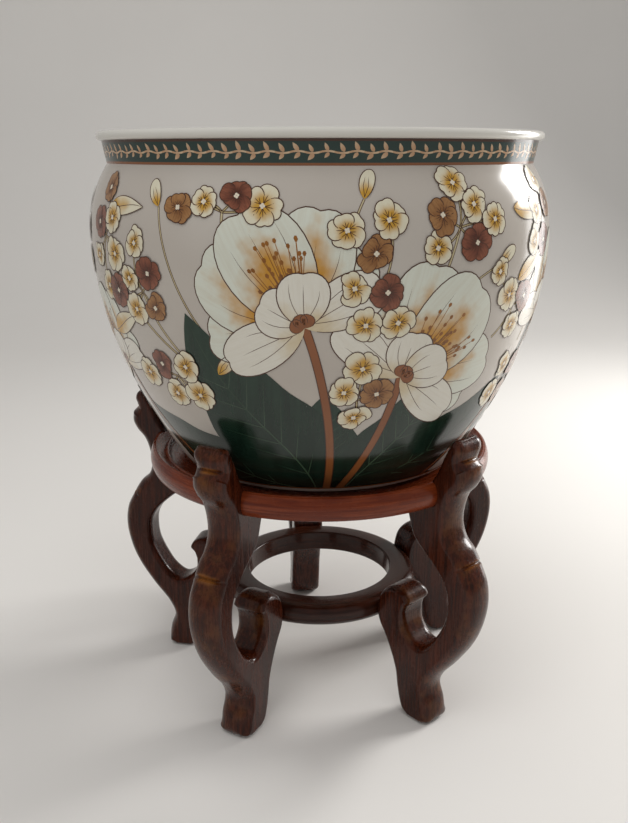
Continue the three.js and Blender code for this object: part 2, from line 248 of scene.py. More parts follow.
@dataclass(frozen=True)
class Glaze:
    """Porcelain ground under a clear, glossy glaze, with a painted highlight that pales the lip."""

    name: str
    ground: Colour
    cloud: Colour
    # Painted highlight: the paler colour painted on the lip, and the heights over which it blends in.
    lip_highlight: Colour
    lip_highlight_heights: Point
    roughness: float = 0.13

    def material(self) -> bpy.types.Material:
        """Ground colour that drifts softly, a painted highlight that pales the lip, and a faint swell in the
        glaze.

        Returns:
            The material.
        """
        recipe = Recipe(self.name)
        place = recipe.place()
        drift = recipe.noise(place, 7.0, 3.0).between(0.3, 0.72)
        swell = recipe.noise(place, 26.0, 1.0)
        haze = recipe.noise(place, 60.0, 2.0)
        _, _, height = recipe.parts(place)
        colour = recipe.mix(drift, self.ground, self.cloud)
        # Painted highlight: above these heights the lip is painted paler, as if lit from above.
        colour = recipe.mix(height.between(*self.lip_highlight_heights), colour, self.lip_highlight)
        return recipe.dress(colour, haze * 0.05 + self.roughness, swell, 0.12, ior=1.5)


@dataclass(frozen=True)
class Enamel:
    """Brushed colour under the glaze, which runs from a motif's heart to its edge."""

    name: str
    heart: Colour
    edge: Colour
    reach: Point = (0.1, 0.8)
    wash: float = 0.35
    flare: float = 0.0
    roughness: float = 0.14

    def material(self) -> bpy.types.Material:
        """Colour by the distance from the heart, broken by brush strokes along the motif.

        Returns:
            The material.
        """
        recipe = Recipe(self.name)
        along, across, tone = recipe.parts(recipe.attribute("motif"))
        place = recipe.place()
        uneven = recipe.noise(place, 90.0, 2.0) * 0.5 - 0.25
        spread = (along + across.size() * self.flare + uneven).between(*self.reach)
        colour = recipe.mix(spread, self.heart, self.edge)
        strokes = recipe.noise(recipe.stretch(recipe.attribute("motif"), 1.4, 7.0, 23.0), 1.6, 3.0, 0.6)
        dark = (strokes.between(0.35, 0.75) + tone * 0.6) * self.wash
        colour = recipe.multiply(dark, colour, self.heart)
        gloss = recipe.noise(place, 60.0, 2.0) * 0.05 + self.roughness
        return recipe.dress(colour, gloss, ior=1.5)


class Grain(Enum):
    """Where the wood's grain takes its directions from."""

    BOARD = "board"
    RING = "ring"


@dataclass(frozen=True)
class Lacquer:
    """Stained hardwood under a satin lacquer, rubbed golden where hands and cloths reach."""

    name: str
    deep: Colour
    bright: Colour
    worn: Colour
    rubbed: float
    grain: Grain
    roughness: float = 0.27

    def material(self) -> bpy.types.Material:
        """Fine streaks and pores along the grain, broad stain drift and golden wear.

        Returns:
            The material.
        """
        recipe = Recipe(self.name)
        if self.grain is Grain.BOARD:
            lines = recipe.stretch(recipe.attribute("grain"), 1.0, 1.0, 0.055)
        else:
            lines = recipe.stretch(recipe.node("ShaderNodeUVMap", {"uv_map": "grain"}), 0.035, 1.0, 1.0)
        wear, _, _ = recipe.parts(recipe.attribute("wear"))
        place = recipe.place()
        streaks = recipe.noise(lines, 420.0, 4.0, 0.65)
        pores = recipe.noise(lines, 1500.0, 2.0, 0.6).between(0.62, 0.72)
        drift = recipe.noise(place, 22.0, 3.0, 0.55)
        blotch = recipe.noise(place, 75.0, 4.0, 0.62)
        rub = (wear * 1.1 + blotch * 0.9 + drift * 0.35 - 1.12 + self.rubbed).between(0.0, 0.75)
        colour = recipe.mix(streaks.between(0.3, 0.7), self.deep, self.bright)
        colour = recipe.mix(drift.between(0.35, 0.7) * 0.5, colour, self.deep)
        colour = recipe.mix(rub * 0.8, colour, self.worn)
        colour = recipe.multiply(pores * 0.45, colour, self.deep)
        gloss = streaks * 0.12 + blotch * 0.1 + self.roughness - 0.11
        height = streaks * 0.5 - pores * 0.5 + blotch * 0.6
        return recipe.dress(colour, gloss, height, 0.16, ior=1.45, specular_ior_level=0.2, coat_weight=0.25,
                            coat_roughness=0.1)


@dataclass(frozen=True)
class BareWood:
    """Turned wood without stain or lacquer."""

    name: str
    pale: Colour
    dark: Colour

    def material(self) -> bpy.types.Material:
        """Plain grain in object coordinates.

        Returns:
            The material.
        """
        recipe = Recipe(self.name)
        lines = recipe.noise(recipe.stretch(recipe.place(), 1.0, 1.0, 0.2), 700.0, 3.0)
        return recipe.dress(recipe.mix(lines.between(0.35, 0.7), self.pale, self.dark), 0.7, lines, 0.1)


@dataclass(frozen=True)
class Backdrop:
    """Plain matt paper of the floor and the wall behind."""

    name: str
    colour: Colour

    def material(self) -> bpy.types.Material:
        """One pale colour with a faint tooth.

        Returns:
            The material.
        """
        recipe = Recipe(self.name)
        tooth = recipe.noise(recipe.place(), 3.0, 2.0).between(0.2, 0.8)
        pale = tuple(c * 1.02 for c in self.colour[:3]) + (1.0,)
        return recipe.dress(recipe.mix(tooth, self.colour, pale), 0.9)


# ---------------------------------------------------------------- mesh helpers


def linked(name: str, data: bpy.types.ID) -> bpy.types.Object:
    """Adds an object to the scene.

    Args:
        name: The object's name.
        data: Its mesh, lamp or camera.

    Returns:
        The new object.
    """
    made = bpy.data.objects.new(name, data)
    bpy.context.scene.collection.objects.link(made)
    return made


def baked(name: str, mesh: Mesh) -> bpy.types.Mesh:
    """Turns a bmesh into mesh data.

    Args:
        name: The data's name.
        mesh: The bmesh, which is freed.

    Returns:
        The mesh data.
    """
    data = bpy.data.meshes.new(name)
    mesh.to_mesh(data)
    mesh.free()
    return data


def piece(name: str, mesh: Mesh, material: bpy.types.Material, body: str) -> bpy.types.Object:
    """Turns a bmesh into a piece that rides on a body.

    Args:
        name: The piece's name.
        mesh: The finished bmesh, which is freed.
        material: Its material.
        body: The body that it moves with.

    Returns:
        The new object.
    """
    made = linked(name, baked(name, mesh))
    made.data.materials.append(material)
    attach(made, body)
    LOG.info("%s: %d faces on %s", name, len(made.data.polygons), body)
    return made


def soften(mesh: Mesh, degrees: float) -> None:
    """Shades a mesh smooth but for edges sharper than an angle.

    Args:
        mesh: The mesh.
        degrees: The angle.
    """
    for face in mesh.faces:
        face.smooth = True
    for edge in mesh.edges:
        edge.smooth = len(edge.link_faces) != 2 or edge.calc_face_angle(0.0) < math.radians(degrees)


def spun(profile: Sequence[Point], steps: int, loop: bool) -> Mesh:
    """Turns a profile round the Z axis, one sector first and then its copies.

    Args:
        profile: [radius, height] points in millimetres.
        steps: Number of steps of the full turn, a multiple of the sectors.
        loop: True if the profile's last point joins its first.

    Returns:
        The turned mesh, in metres, with its faces outward.
    """
    mesh = bmesh.new()
    verts = [mesh.verts.new((r * MM, 0.0, z * MM)) for r, z in profile]
    ends = verts[1:] + verts[:1] if loop else verts[1:]
    edges = [mesh.edges.new(pair) for pair in zip(verts, ends)]
    turn = math.tau / SECTORS
    bmesh.ops.spin(mesh, geom=verts + edges, cent=(0, 0, 0), axis=(0, 0, 1), dvec=(0, 0, 0),
                   angle=turn, steps=steps // SECTORS, use_merge=False, use_duplicate=False)
    while turn < math.tau * 0.99:
        copied = bmesh.ops.duplicate(mesh, geom=[*mesh.verts, *mesh.edges, *mesh.faces])["geom"]
        bmesh.ops.rotate(mesh, verts=[v for v in copied if isinstance(v, bmesh.types.BMVert)], cent=(0, 0, 0),
                         matrix=Matrix.Rotation(turn, 3, "Z"))
        turn *= 2
    bmesh.ops.remove_doubles(mesh, verts=mesh.verts, dist=1e-6)
    bmesh.ops.recalc_face_normals(mesh, faces=mesh.faces)
    return mesh


def arc(r: float, z: float, radius: float, start: float, end: float, steps: int) -> List[Point]:
    """Points on an arc.

    Args:
        r: Radius of the arc's centre from the axis.
        z: Height of the centre.
        radius: Radius of the arc.
        start: First angle in degrees.
        end: Last angle in degrees.
        steps: Number of steps.

    Returns:
        The points, both ends among them.
    """
    angles = [math.radians(start + (end - start) * i / steps) for i in range(steps + 1)]
    return [(r + radius * math.cos(a), z + radius * math.sin(a)) for a in angles]


def curve(*knots: Point, steps: int = 6) -> List[Point]:
    """A Bezier curve through flat points.

    Args:
        *knots: Start, two handles, end, and so on with two handles and an end for each next stretch.
        steps: Points in each stretch.

    Returns:
        The points of the curve.
    """
    points: List[Point] = []
    for i in range(0, len(knots) - 1, 3):
        a, b, c, d = (Vector((*k, 0.0)) for k in knots[i : i + 4])
        drawn = interpolate_bezier(a, b, c, d, steps + 1)
        points += [(p.x, p.y) for p in (drawn if not points else drawn[1:])]
    return points


def headings(line: Sequence[Point]) -> List[Point]:
    """Directions of a line at its points.

    Args:
        line: The line's points.

    Returns:
        A unit direction for each point.
    """
    found = []
    for i in range(len(line)):
        (ax, ay), (bx, by) = line[max(i - 1, 0)], line[min(i + 1, len(line) - 1)]
        length = math.hypot(bx - ax, by - ay) or 1.0
        found.append(((bx - ax) / length, (by - ay) / length))
    return found


def oval(x: float, y: float, wide: float, high: float, count: int) -> List[Point]:
    """Outline of an oval about a centre, from its half width and half height."""
    angles = [math.tau * k / count for k in range(count)]
    return [(x + wide * math.cos(a), y + high * math.sin(a)) for a in angles]


# ---------------------------------------------------------------- bowl


@dataclass(frozen=True)
class BowlShape:
    """Sizes of the bowl. `skin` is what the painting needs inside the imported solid's size."""

    foot_z: float = 200.3
    height: float = 255.7
    belly_r: float = 178.0
    belly_height: float = 178.0
    base_r: float = 112.0
    base_round: float = 4.0
    body_swell: float = 1.87
    shoulder_swell: float = 2.5
    crease_r: float = 163.0
    rim_height: float = 22.5
    rim_flare: float = 3.0
    lip_overhang: float = 3.2
    lip_height: float = 6.5
    lip_width: float = 14.0
    wall: float = 8.0
    floor: float = 12.5
    floor_round: float = 18.0
    foot_ring_r: float = 106.0
    foot_ring_width: float = 8.0
    foot_ring_height: float = 3.5
    foot_ease: float = 1.3
    lip_ease: float = 3.0
    skin: float = 0.9

    @property
    def crease(self) -> float:
        """Height of the crease above the foot."""
        return self.height - self.rim_height

    def radius(self, height: float) -> float:
        """Radius of the outside at a height above the foot, up to the crease.

        Args:
            height: Height above the foot.

        Returns:
            The radius.
        """
        if height < self.belly_height:
            share = 1 - (1 - height / self.belly_height) ** self.body_swell
            return self.base_r + (self.belly_r - self.base_r) * share - self.skin
        up = (height - self.belly_height) / (self.crease - self.belly_height)
        return self.belly_r - (self.belly_r - self.crease_r) * up**self.shoulder_swell - self.skin

    def side(self) -> List[Point]:
        """The painted side line from the foot to the crease.

        Returns:
            [radius, height] points from below.
        """
        low = self.base_round
        steps = 72
        heights = [low + (self.crease - low) * i / steps for i in range(steps + 1)]
        return [(self.radius(h), self.foot_z + h) for h in heights]

    def border(self) -> List[Point]:
        """The side line of the border under the lip.

        Returns:
            [radius, height] points from below.
        """
        foot, head = self.crease_r - self.skin, self.crease_r + self.rim_flare - self.skin
        top = self.foot_z + self.height - self.lip_height
        bottom = self.foot_z + self.crease
        steps = 6
        return [(foot + (head - foot) * i / steps, bottom + (top - bottom) * i / steps)
                for i in range(steps + 1)]

    def outline(self) -> List[Point]:
        """The whole section, from the axis under the base, over the lip, to the axis inside.

        Returns:
            [radius, height] points.
        """
        z, lip_z = self.foot_z, self.foot_z + self.height
        ring_in = self.foot_ring_r - self.foot_ring_width
        lip_r = self.crease_r + self.rim_flare + self.lip_overhang - 0.05
        bead = self.lip_height / 2
        inner = lip_r - self.lip_width
        low = self.floor + self.floor_round
        edge = self.radius(low) + self.skin - self.wall - self.floor_round
        inside = [low + (self.crease - low) * i / 40 for i in range(41)]
        return [
            (0.0, z + self.foot_ring_height),
            (ring_in - 1.5, z + self.foot_ring_height),
            *arc(ring_in - 1.2, z + self.foot_ring_height - 1.5, 1.2, 60, 0, 3),
            *arc(ring_in + 1.5, z + self.foot_ease, self.foot_ease, 180, 270, 4),
            *arc(self.foot_ring_r - self.foot_ease, z + self.foot_ease, self.foot_ease, 270, 320, 3),
            (self.base_r - 2.4, z + 1.7),
            *arc(self.base_r - 3.4, z + 4.3, 2.9, 290, 340, 4),
            *self.side(),
            *self.border()[1:],
            *arc(lip_r - bead, lip_z - bead, bead, -75, 90, 14),
            *arc(inner + self.lip_ease, lip_z - self.lip_ease, self.lip_ease, 90, 180, 7),
            (inner, lip_z - self.lip_height - 1),
            *arc(self.crease_r - self.wall - 1, z + self.crease + 3, 3.0, 40, 0, 4),
            *[(self.radius(h) + self.skin - self.wall, z + h) for h in reversed(inside)],
            *arc(edge, z + low, self.floor_round, -6, -90, 12),
            (0.0, z + self.floor),
        ]


class Meridian:
    """A side line of the bowl, measured along itself."""

    def __init__(self, points: Sequence[Point]) -> None:
        """Measures the runs between the points.

        Args:
            points: [radius, height] points from the lower end up.
        """
        self.points = [Vector(p) for p in points]
        self.runs = [0.0]
        for a, b in zip(self.points, self.points[1:]):
            self.runs.append(self.runs[-1] + (b - a).length)

    def _span(self, run: float) -> Tuple[int, float]:
        """The step that a run lies in, and the share of the step."""
        low = min(max(bisect_right(self.runs, run) - 1, 0), len(self.runs) - 2)
        return low, (run - self.runs[low]) / (self.runs[low + 1] - self.runs[low])

    def _slope(self, index: int) -> Vector:
        """Direction of the line at a point."""
        before, after = max(index - 1, 0), min(index + 1, len(self.points) - 1)
        return (self.points[after] - self.points[before]).normalized()

    def at(self, run: float) -> Tuple[Vector, Vector]:
        """Point and outward normal at a run, both as [radius, height].

        Args:
            run: How far along the line.

        Returns:
            The point and the normal.
        """
        index, share = self._span(run)
        point = self.points[index].lerp(self.points[index + 1], share)
        slope = self._slope(index).lerp(self._slope(index + 1), share).normalized()
        return point, Vector((slope.y, -slope.x))

    def run_at(self, height: float) -> float:
        """Run at a height in the model.

        Args:
            height: Height above the floor.

        Returns:
            The run.
        """
        for i, (a, b) in enumerate(zip(self.points, self.points[1:])):
            if height <= b.y or i == len(self.points) - 2:
                return self.runs[i] + (self.runs[i + 1] - self.runs[i]) * (height - a.y) / (b.y - a.y)
        return self.runs[-1]


# ---------------------------------------------------------------- painting


@dataclass(frozen=True)
class Spot:
    """A place on the bowl's side where a motif stands."""

    angle: float
    run: float
    turn: float = 0.0
    size: float = 1.0
    hand: int = 1


class Pot(Enum):
    """The colours that the painting is made with."""

    LINE = "line"
    VEIN = "vein"
    LEAF = "leaf"
    STEM = "stem"
    TWIG = "twig"
    BLOSSOM = "blossom"
    BLOSSOM_BACK = "blossom_back"
    POLLEN = "pollen"
    RUST = "rust"
    TAN = "tan"
    CREAM = "cream"
    EYE = "eye"
    BAND = "band"
    VINE = "vine"


class Canvas:
    """A drawing laid on a side line of the bowl, in layers a few hundredths thick."""

    SPREAD_R = 178.0
    EDGE = 0.3
    LAYER = 0.032
    BASE = 0.05
    CELL = 2.2

    def __init__(self, meridian: Meridian, facing: float, hem: float = EDGE) -> None:
        """Starts an empty drawing.

        Args:
            meridian: The side line that the drawing lies on.
            facing: Azimuth in degrees of the drawing's middle.
            hem: Lowest run that the drawing covers.
        """
        self.meridian = meridian
        self.hem = hem
        self.facing = math.radians(facing)
        self.sheets: Dict[Pot, Mesh] = {}
        self.carrier = bpy.data.meshes.new("carrier")

    def blank(self) -> Mesh:
        """An empty flat drawing.

        Returns:
            The bmesh, with its two layers.
        """
        mesh = bmesh.new()
        mesh.verts.layers.float_vector.new("motif")
        mesh.verts.layers.int.new("station")
        return mesh

    def keep(self, pot: Pot, mesh: Mesh) -> None:
        """Adds a small drawing to the sheet of its colour.

        Args:
            pot: The colour.
            mesh: The drawing, which is freed.
        """
        mesh.to_mesh(self.carrier)
        mesh.free()
        if pot not in self.sheets:
            self.sheets[pot] = self.blank()
        self.sheets[pot].from_mesh(self.carrier)

    def lay(self, spot: Spot, x: float, y: float) -> Point:
        """Place on the flat drawing of a point of a motif.

        Args:
            spot: Where the motif stands.
            x: Millimetres right of the spot.
            y: Millimetres above it.

        Returns:
            The spread-out angle and the run.
        """
        turn = math.radians(spot.turn)
        dx = spot.size * (x * math.cos(turn) + y * math.sin(turn)) * spot.hand
        dy = spot.size * (y * math.cos(turn) - x * math.sin(turn))
        run = min(max(spot.run + dy, self.hem), self.meridian.runs[-1] - self.EDGE)
        stretch = self.SPREAD_R / self.meridian.at(run)[0].x
        return math.radians(spot.angle) * self.SPREAD_R + dx * stretch, run

    def reach(self, spot: Spot, angle: float, run: float) -> Point:
        """Millimetres from an unturned spot to a place on the bowl."""
        radius = self.meridian.at(run)[0].x
        return math.radians(angle - spot.angle) * radius * spot.hand, run - spot.run

    def fill(self, spot: Spot, outline: Sequence[Point], unit: Point, pot: Pot, level: float,
             tone: float = 0.0) -> None:
        """Fills a closed outline.

        Args:
            spot: Where the motif stands.
            outline: The outline in the motif's millimetres.
            unit: Length and half width that count as 1 for the colour's run.
            pot: The colour.
            level: The layer.
            tone: How far the brush was loaded, 0 to 1.
        """
        mesh = self.blank()
        motif = mesh.verts.layers.float_vector["motif"]
        verts = []
        for x, y in outline:
            flat = self.lay(spot, x, y)
            verts.append(mesh.verts.new((*flat, level)))
            verts[-1][motif] = Vector((y / unit[0], x / unit[1], tone))
        face = mesh.faces.new(verts)
        geometry: list = [*verts, *face.edges, face]
        for axis in (0, 1):
            low, high = min(v.co[axis] for v in verts), max(v.co[axis] for v in verts)
            normal = Vector((1 - axis, axis, 0))
            for step in range(math.ceil(low / self.CELL), math.floor(high / self.CELL) + 1):
                geometry = bmesh.ops.bisect_plane(
                    mesh, geom=geometry, dist=1e-5, plane_co=normal * step * self.CELL, plane_no=normal,
                )["geom"]
        self.keep(pot, mesh)

    def even(self, line: Sequence[Point], step: float) -> List[Point]:
        """Splits the long spans of a line, so that it follows the bowl.

        Args:
            line: The line's points.
            step: Longest span to leave.

        Returns:
            The points with more between them.
        """
        points = [line[0]]
        for a, b in zip(line, line[1:]):
            count = max(1, math.ceil(math.dist(a, b) / step))
            points += [(a[0] + (b[0] - a[0]) * i / count, a[1] + (b[1] - a[1]) * i / count)
                       for i in range(1, count + 1)]
        return points

    def stroke(self, spot: Spot, line: Sequence[Point], width: float, pot: Pot, level: float,
               taper: Point = (0.4, 0.4), tone: float = 0.0) -> None:
        """Draws a line as one brush stroke.

        Args:
            spot: Where the motif stands.
            line: The line in the motif's millimetres.
            width: Full width of the stroke in millimetres.
            pot: The colour.
            level: The layer.
            taper: Share of the width at the start and at the end.
            tone: How far the brush was loaded, 0 to 1.
        """
        line = self.even(line, self.CELL * 0.8 / spot.size)
        mesh = self.blank()
        motif, station = mesh.verts.layers.float_vector["motif"], mesh.verts.layers.int["station"]
        last = len(line) - 1
        sides: Tuple[list, list] = ([], [])
        for i, ((x, y), (fx, fy)) in enumerate(zip(line, headings(line))):
            share = i / last
            press = 1 if taper == (1, 1) else min(1.0, taper[0] + share * 4, taper[1] + (1 - share) * 4)
            half = width * press / 2 / spot.size
            sides[0].append(self.lay(spot, x - fy * half, y + fx * half))
            sides[1].append(self.lay(spot, x + fy * half, y - fx * half))
        verts = [mesh.verts.new((*flat, level)) for flat in sides[0]]
        for i, vert in enumerate(verts):
            vert[station] = i
            vert[motif] = Vector((i / last, 0.0, tone))
        edges = [mesh.edges.new(pair) for pair in zip(verts, verts[1:])]
        made = bmesh.ops.extrude_edge_only(mesh, edges=edges)["geom"]
        for vert in (v for v in made if isinstance(v, bmesh.types.BMVert)):
            vert.co = Vector((*sides[1][vert[station]], level))
        self.keep(pot, mesh)

    def wrap(self, prefix: str, paints: Dict[Pot, bpy.types.Material]) -> List[bpy.types.Object]:
        """Lays every colour on the bowl as a piece of its own.

        Args:
            prefix: Start of the pieces' names.
            paints: The material of each colour.

        Returns:
            The pieces.
        """
        made = []
        for pot, mesh in self.sheets.items():
            for face in mesh.faces:
                face.normal_update()
                if face.normal.z < 0:
                    face.normal_flip()
                face.smooth = True
            normals = []
            for vert in mesh.verts:
                flat_x, run, level = vert.co
                angle = self.facing + flat_x / self.SPREAD_R
                point, normal = self.meridian.at(run)
                raised = point + normal * (self.BASE + level * self.LAYER)
                cos, sin = math.cos(angle), math.sin(angle)
                vert.co = Vector((raised.x * cos, raised.x * sin, raised.y)) * MM
                normals.append((normal.x * cos, normal.x * sin, normal.y))
            bmesh.ops.triangulate(mesh, faces=[f for f in mesh.faces if len(f.verts) > 4])
            painted = piece(f"{prefix}_{pot.value}", mesh, paints[pot], "bowl")
            painted.data.normals_split_custom_set_from_vertices(normals)
            made.append(painted)
        bpy.data.meshes.remove(self.carrier)
        return made


def closed(right: List[Point], shift: float, length: float) -> List[Point]:
    """Closes a motif's right side with its mirror image, and moves the tip aside by a shift."""
    left = [(-x, y) for x, y in reversed(right[1:-1])]
    return [(x + shift * (y / length) ** 2, y) for x, y in right + left]


def petal(length: float, width: float, notch: float = 0.0, lean: float = 0.0, steps: int = 6) -> List[Point]:
    """Outline of a petal that grows up from the origin.

    Args:
        length: Length from the origin to the tip.
        width: Greatest width.
        notch: Depth of the dent at the tip, as a share of the length.
        lean: How far the tip leans to the right, as a share of the half width.
        steps: Points in each of the four curves.

    Returns:
        The closed outline, counter-clockwise.
    """
    half = width / 2
    right = curve((0, 0), (half * 0.5, length * 0.08), (half, length * 0.3), (half, length * 0.6),
                  (half, length * 0.86), (half * 0.5, length * 1.03), (0, length * (1 - notch)), steps=steps)
    return closed(right, lean * half, length)


def blade(length: float, width: float, lean: float = 0.0, steps: int = 6) -> List[Point]:
    """Outline of a pointed leaf that grows up from the origin.

    Args:
        length: Length from the origin to the tip.
        width: Greatest width.
        lean: How far the tip leans to the right, as a share of the half width.
        steps: Points in each side.

    Returns:
        The closed outline, counter-clockwise.
    """
    half = width / 2
    right = curve((0, 0), (half * 1.4, length * 0.16), (half * 1.3, length * 0.56), (0, length), steps=steps)
    return closed(right, lean * half, length)


RUST, TAN, CREAM = Pot.RUST, Pot.TAN, Pot.CREAM
# Angle and height of the base, spine, width and layer.
LEAVES = (
    (57, 4, ((12, 40), (16, 92), (34, 150)), 18, 1.2),
    (-68, 4, ((-6, 42), (-18, 84), (-13, 142)), 18, 1.2),
    (-7, 6.4, ((-48, 12), (-92, 28), (-138, 66)), 56, 1.2),
    (0, 6.4, ((-6, 34), (6, 60), (2, 92)), 60, 2.2),
    (8, 6.4, ((50, 16), (92, 44), (136, 92)), 56, 2.4),
    (9, 6.4, ((20, 40), (52, 62), (66, 122)), 54, 3.6),
    (-1, 6.4, ((-12, 54), (-62, 78), (-88, 148)), 76, 4.8),
)
# Place, turn and size of the calyx, foot, width and bow of the stem, and layer of the blossom.
BLOSSOMS = (
    ((-63, 92, -22, 1.0), (-40, 5), 3.6, 0.06, 6.0),
    ((70, 128, 12, 1.0), (40, 5), 3.6, -0.06, 6.0),
    ((19, 100, 44, 1.34), (7, 6.4), 5.4, -0.05, 6.0),
    ((-3, 136, -30, 1.34), (2.5, 6.4), 5.4, -0.07, 6.5),
)
# Start and node of the twig, its bow, and each flower's place from the node and colour.
SPRAYS = (
    ((10, 90), (30, 196), -0.08,
     ((-13, 8, TAN), (12, 14, CREAM), (14, -10, RUST), (-2, 28, CREAM), (-17, -12, CREAM), (30, 4, CREAM))),
    ((-20, 90), (-56, 186), 0.12,
     ((-11, 9, RUST), (11, 13, CREAM), (-15, -14, CREAM), (0, 33, TAN), (14, -11, CREAM), (-2, -34, CREAM))),
    ((4, 80), (10, 150), -0.05,
     ((-9, 11, CREAM), (12, 8, RUST), (-1, -13, CREAM), (20, -12, CREAM), (4, 32, TAN), (-14, 46, CREAM),
      (12, 52, CREAM))),
    ((-16, 50), (-37, 94), 0.1,
     ((-12, 8, RUST), (11, 9, CREAM), (-6, -15, CREAM), (-31, -2, CREAM), (16, -13, CREAM))),
    ((40, 50), (60, 84), -0.1,
     ((-11, 11, CREAM), (12, 7, RUST), (-14, -13, CREAM), (8, -16, TAN), (30, -4, CREAM))),
    ((60, 110), (62, 196), -0.1,
     ((-12, 7, CREAM), (12, 11, TAN), (3, -14, RUST), (-17, -13, CREAM), (-2, 28, CREAM))),
    ((-62, 110), (-79, 178), 0.1,
     ((-11, 7, CREAM), (12, 10, TAN), (-2, -15, RUST), (17, -13, CREAM), (4, 30, CREAM))),
    ((-12, 120), (-20, 206), 0.1, ((-13, 6, CREAM), (9, 10, RUST), (26, 4, CREAM), (-32, 2, TAN))),
    ((-24, 90), (-42, 152), 0.1,
     ((-13, 8, CREAM), (8, 13, RUST), (-10, -13, CREAM), (11, -10, TAN), (-4, 32, CREAM), (-30, -2, RUST))),
    ((8, 60), (9, 84), -0.08, ((-9, 7, CREAM), (13, 5, TAN), (2, 25, CREAM), (-1, -14, CREAM))),
    ((44, 120), (50, 140), -0.08, ((-9, 9, CREAM), (13, 6, RUST), (3, -14, CREAM), (-24, 26, CREAM))),
    ((70, 20), (80, 66), -0.1, ((-11, 9, CREAM), (11, 7, RUST), (-6, -14, CREAM))),
    ((-74, 20), (-79, 48), 0.1, ((-11, 9, CREAM), (11, 7, TAN), (-6, -14, RUST))),
)
# Start of the stalk, place and turn of the bud, and layer.
BUDS = (
    ((24, 130), (42, 170, 50), 16),
    ((-20, 110), (-36, 208, -30), 16),
    ((6, 120), (9, 214, 10), 16),
    ((-30, 60), (-24, 100, 40), 6),
)
# Place, turn and length.
PALE_LEAVES = (
    (-60, 118, 64, 46), (50, 158, 60, 42), (47, 206, 96, 38), (-54, 206, 84, 40), (76, 100, -30, 42),
)
# Turn, length and width of the petals behind and before the heart of a large blossom.
BACK_PETALS = ((-60, 50, 34), (66, 46, 32), (-32, 60, 40), (38, 57, 38), (3, 63, 44))
FRONT_PETALS = ((-86, 45, 26), (84, 43, 25), (-34, 25, 24), (30, 27, 25))
STAMENS = 34
FLOWER_PETALS = 5
EYE_DOTS = 4
FOOT_RISE = 14
STEM_LEVEL = 5.8
SPRAY_LEVEL = 15.6
PALE_LEVEL = 15


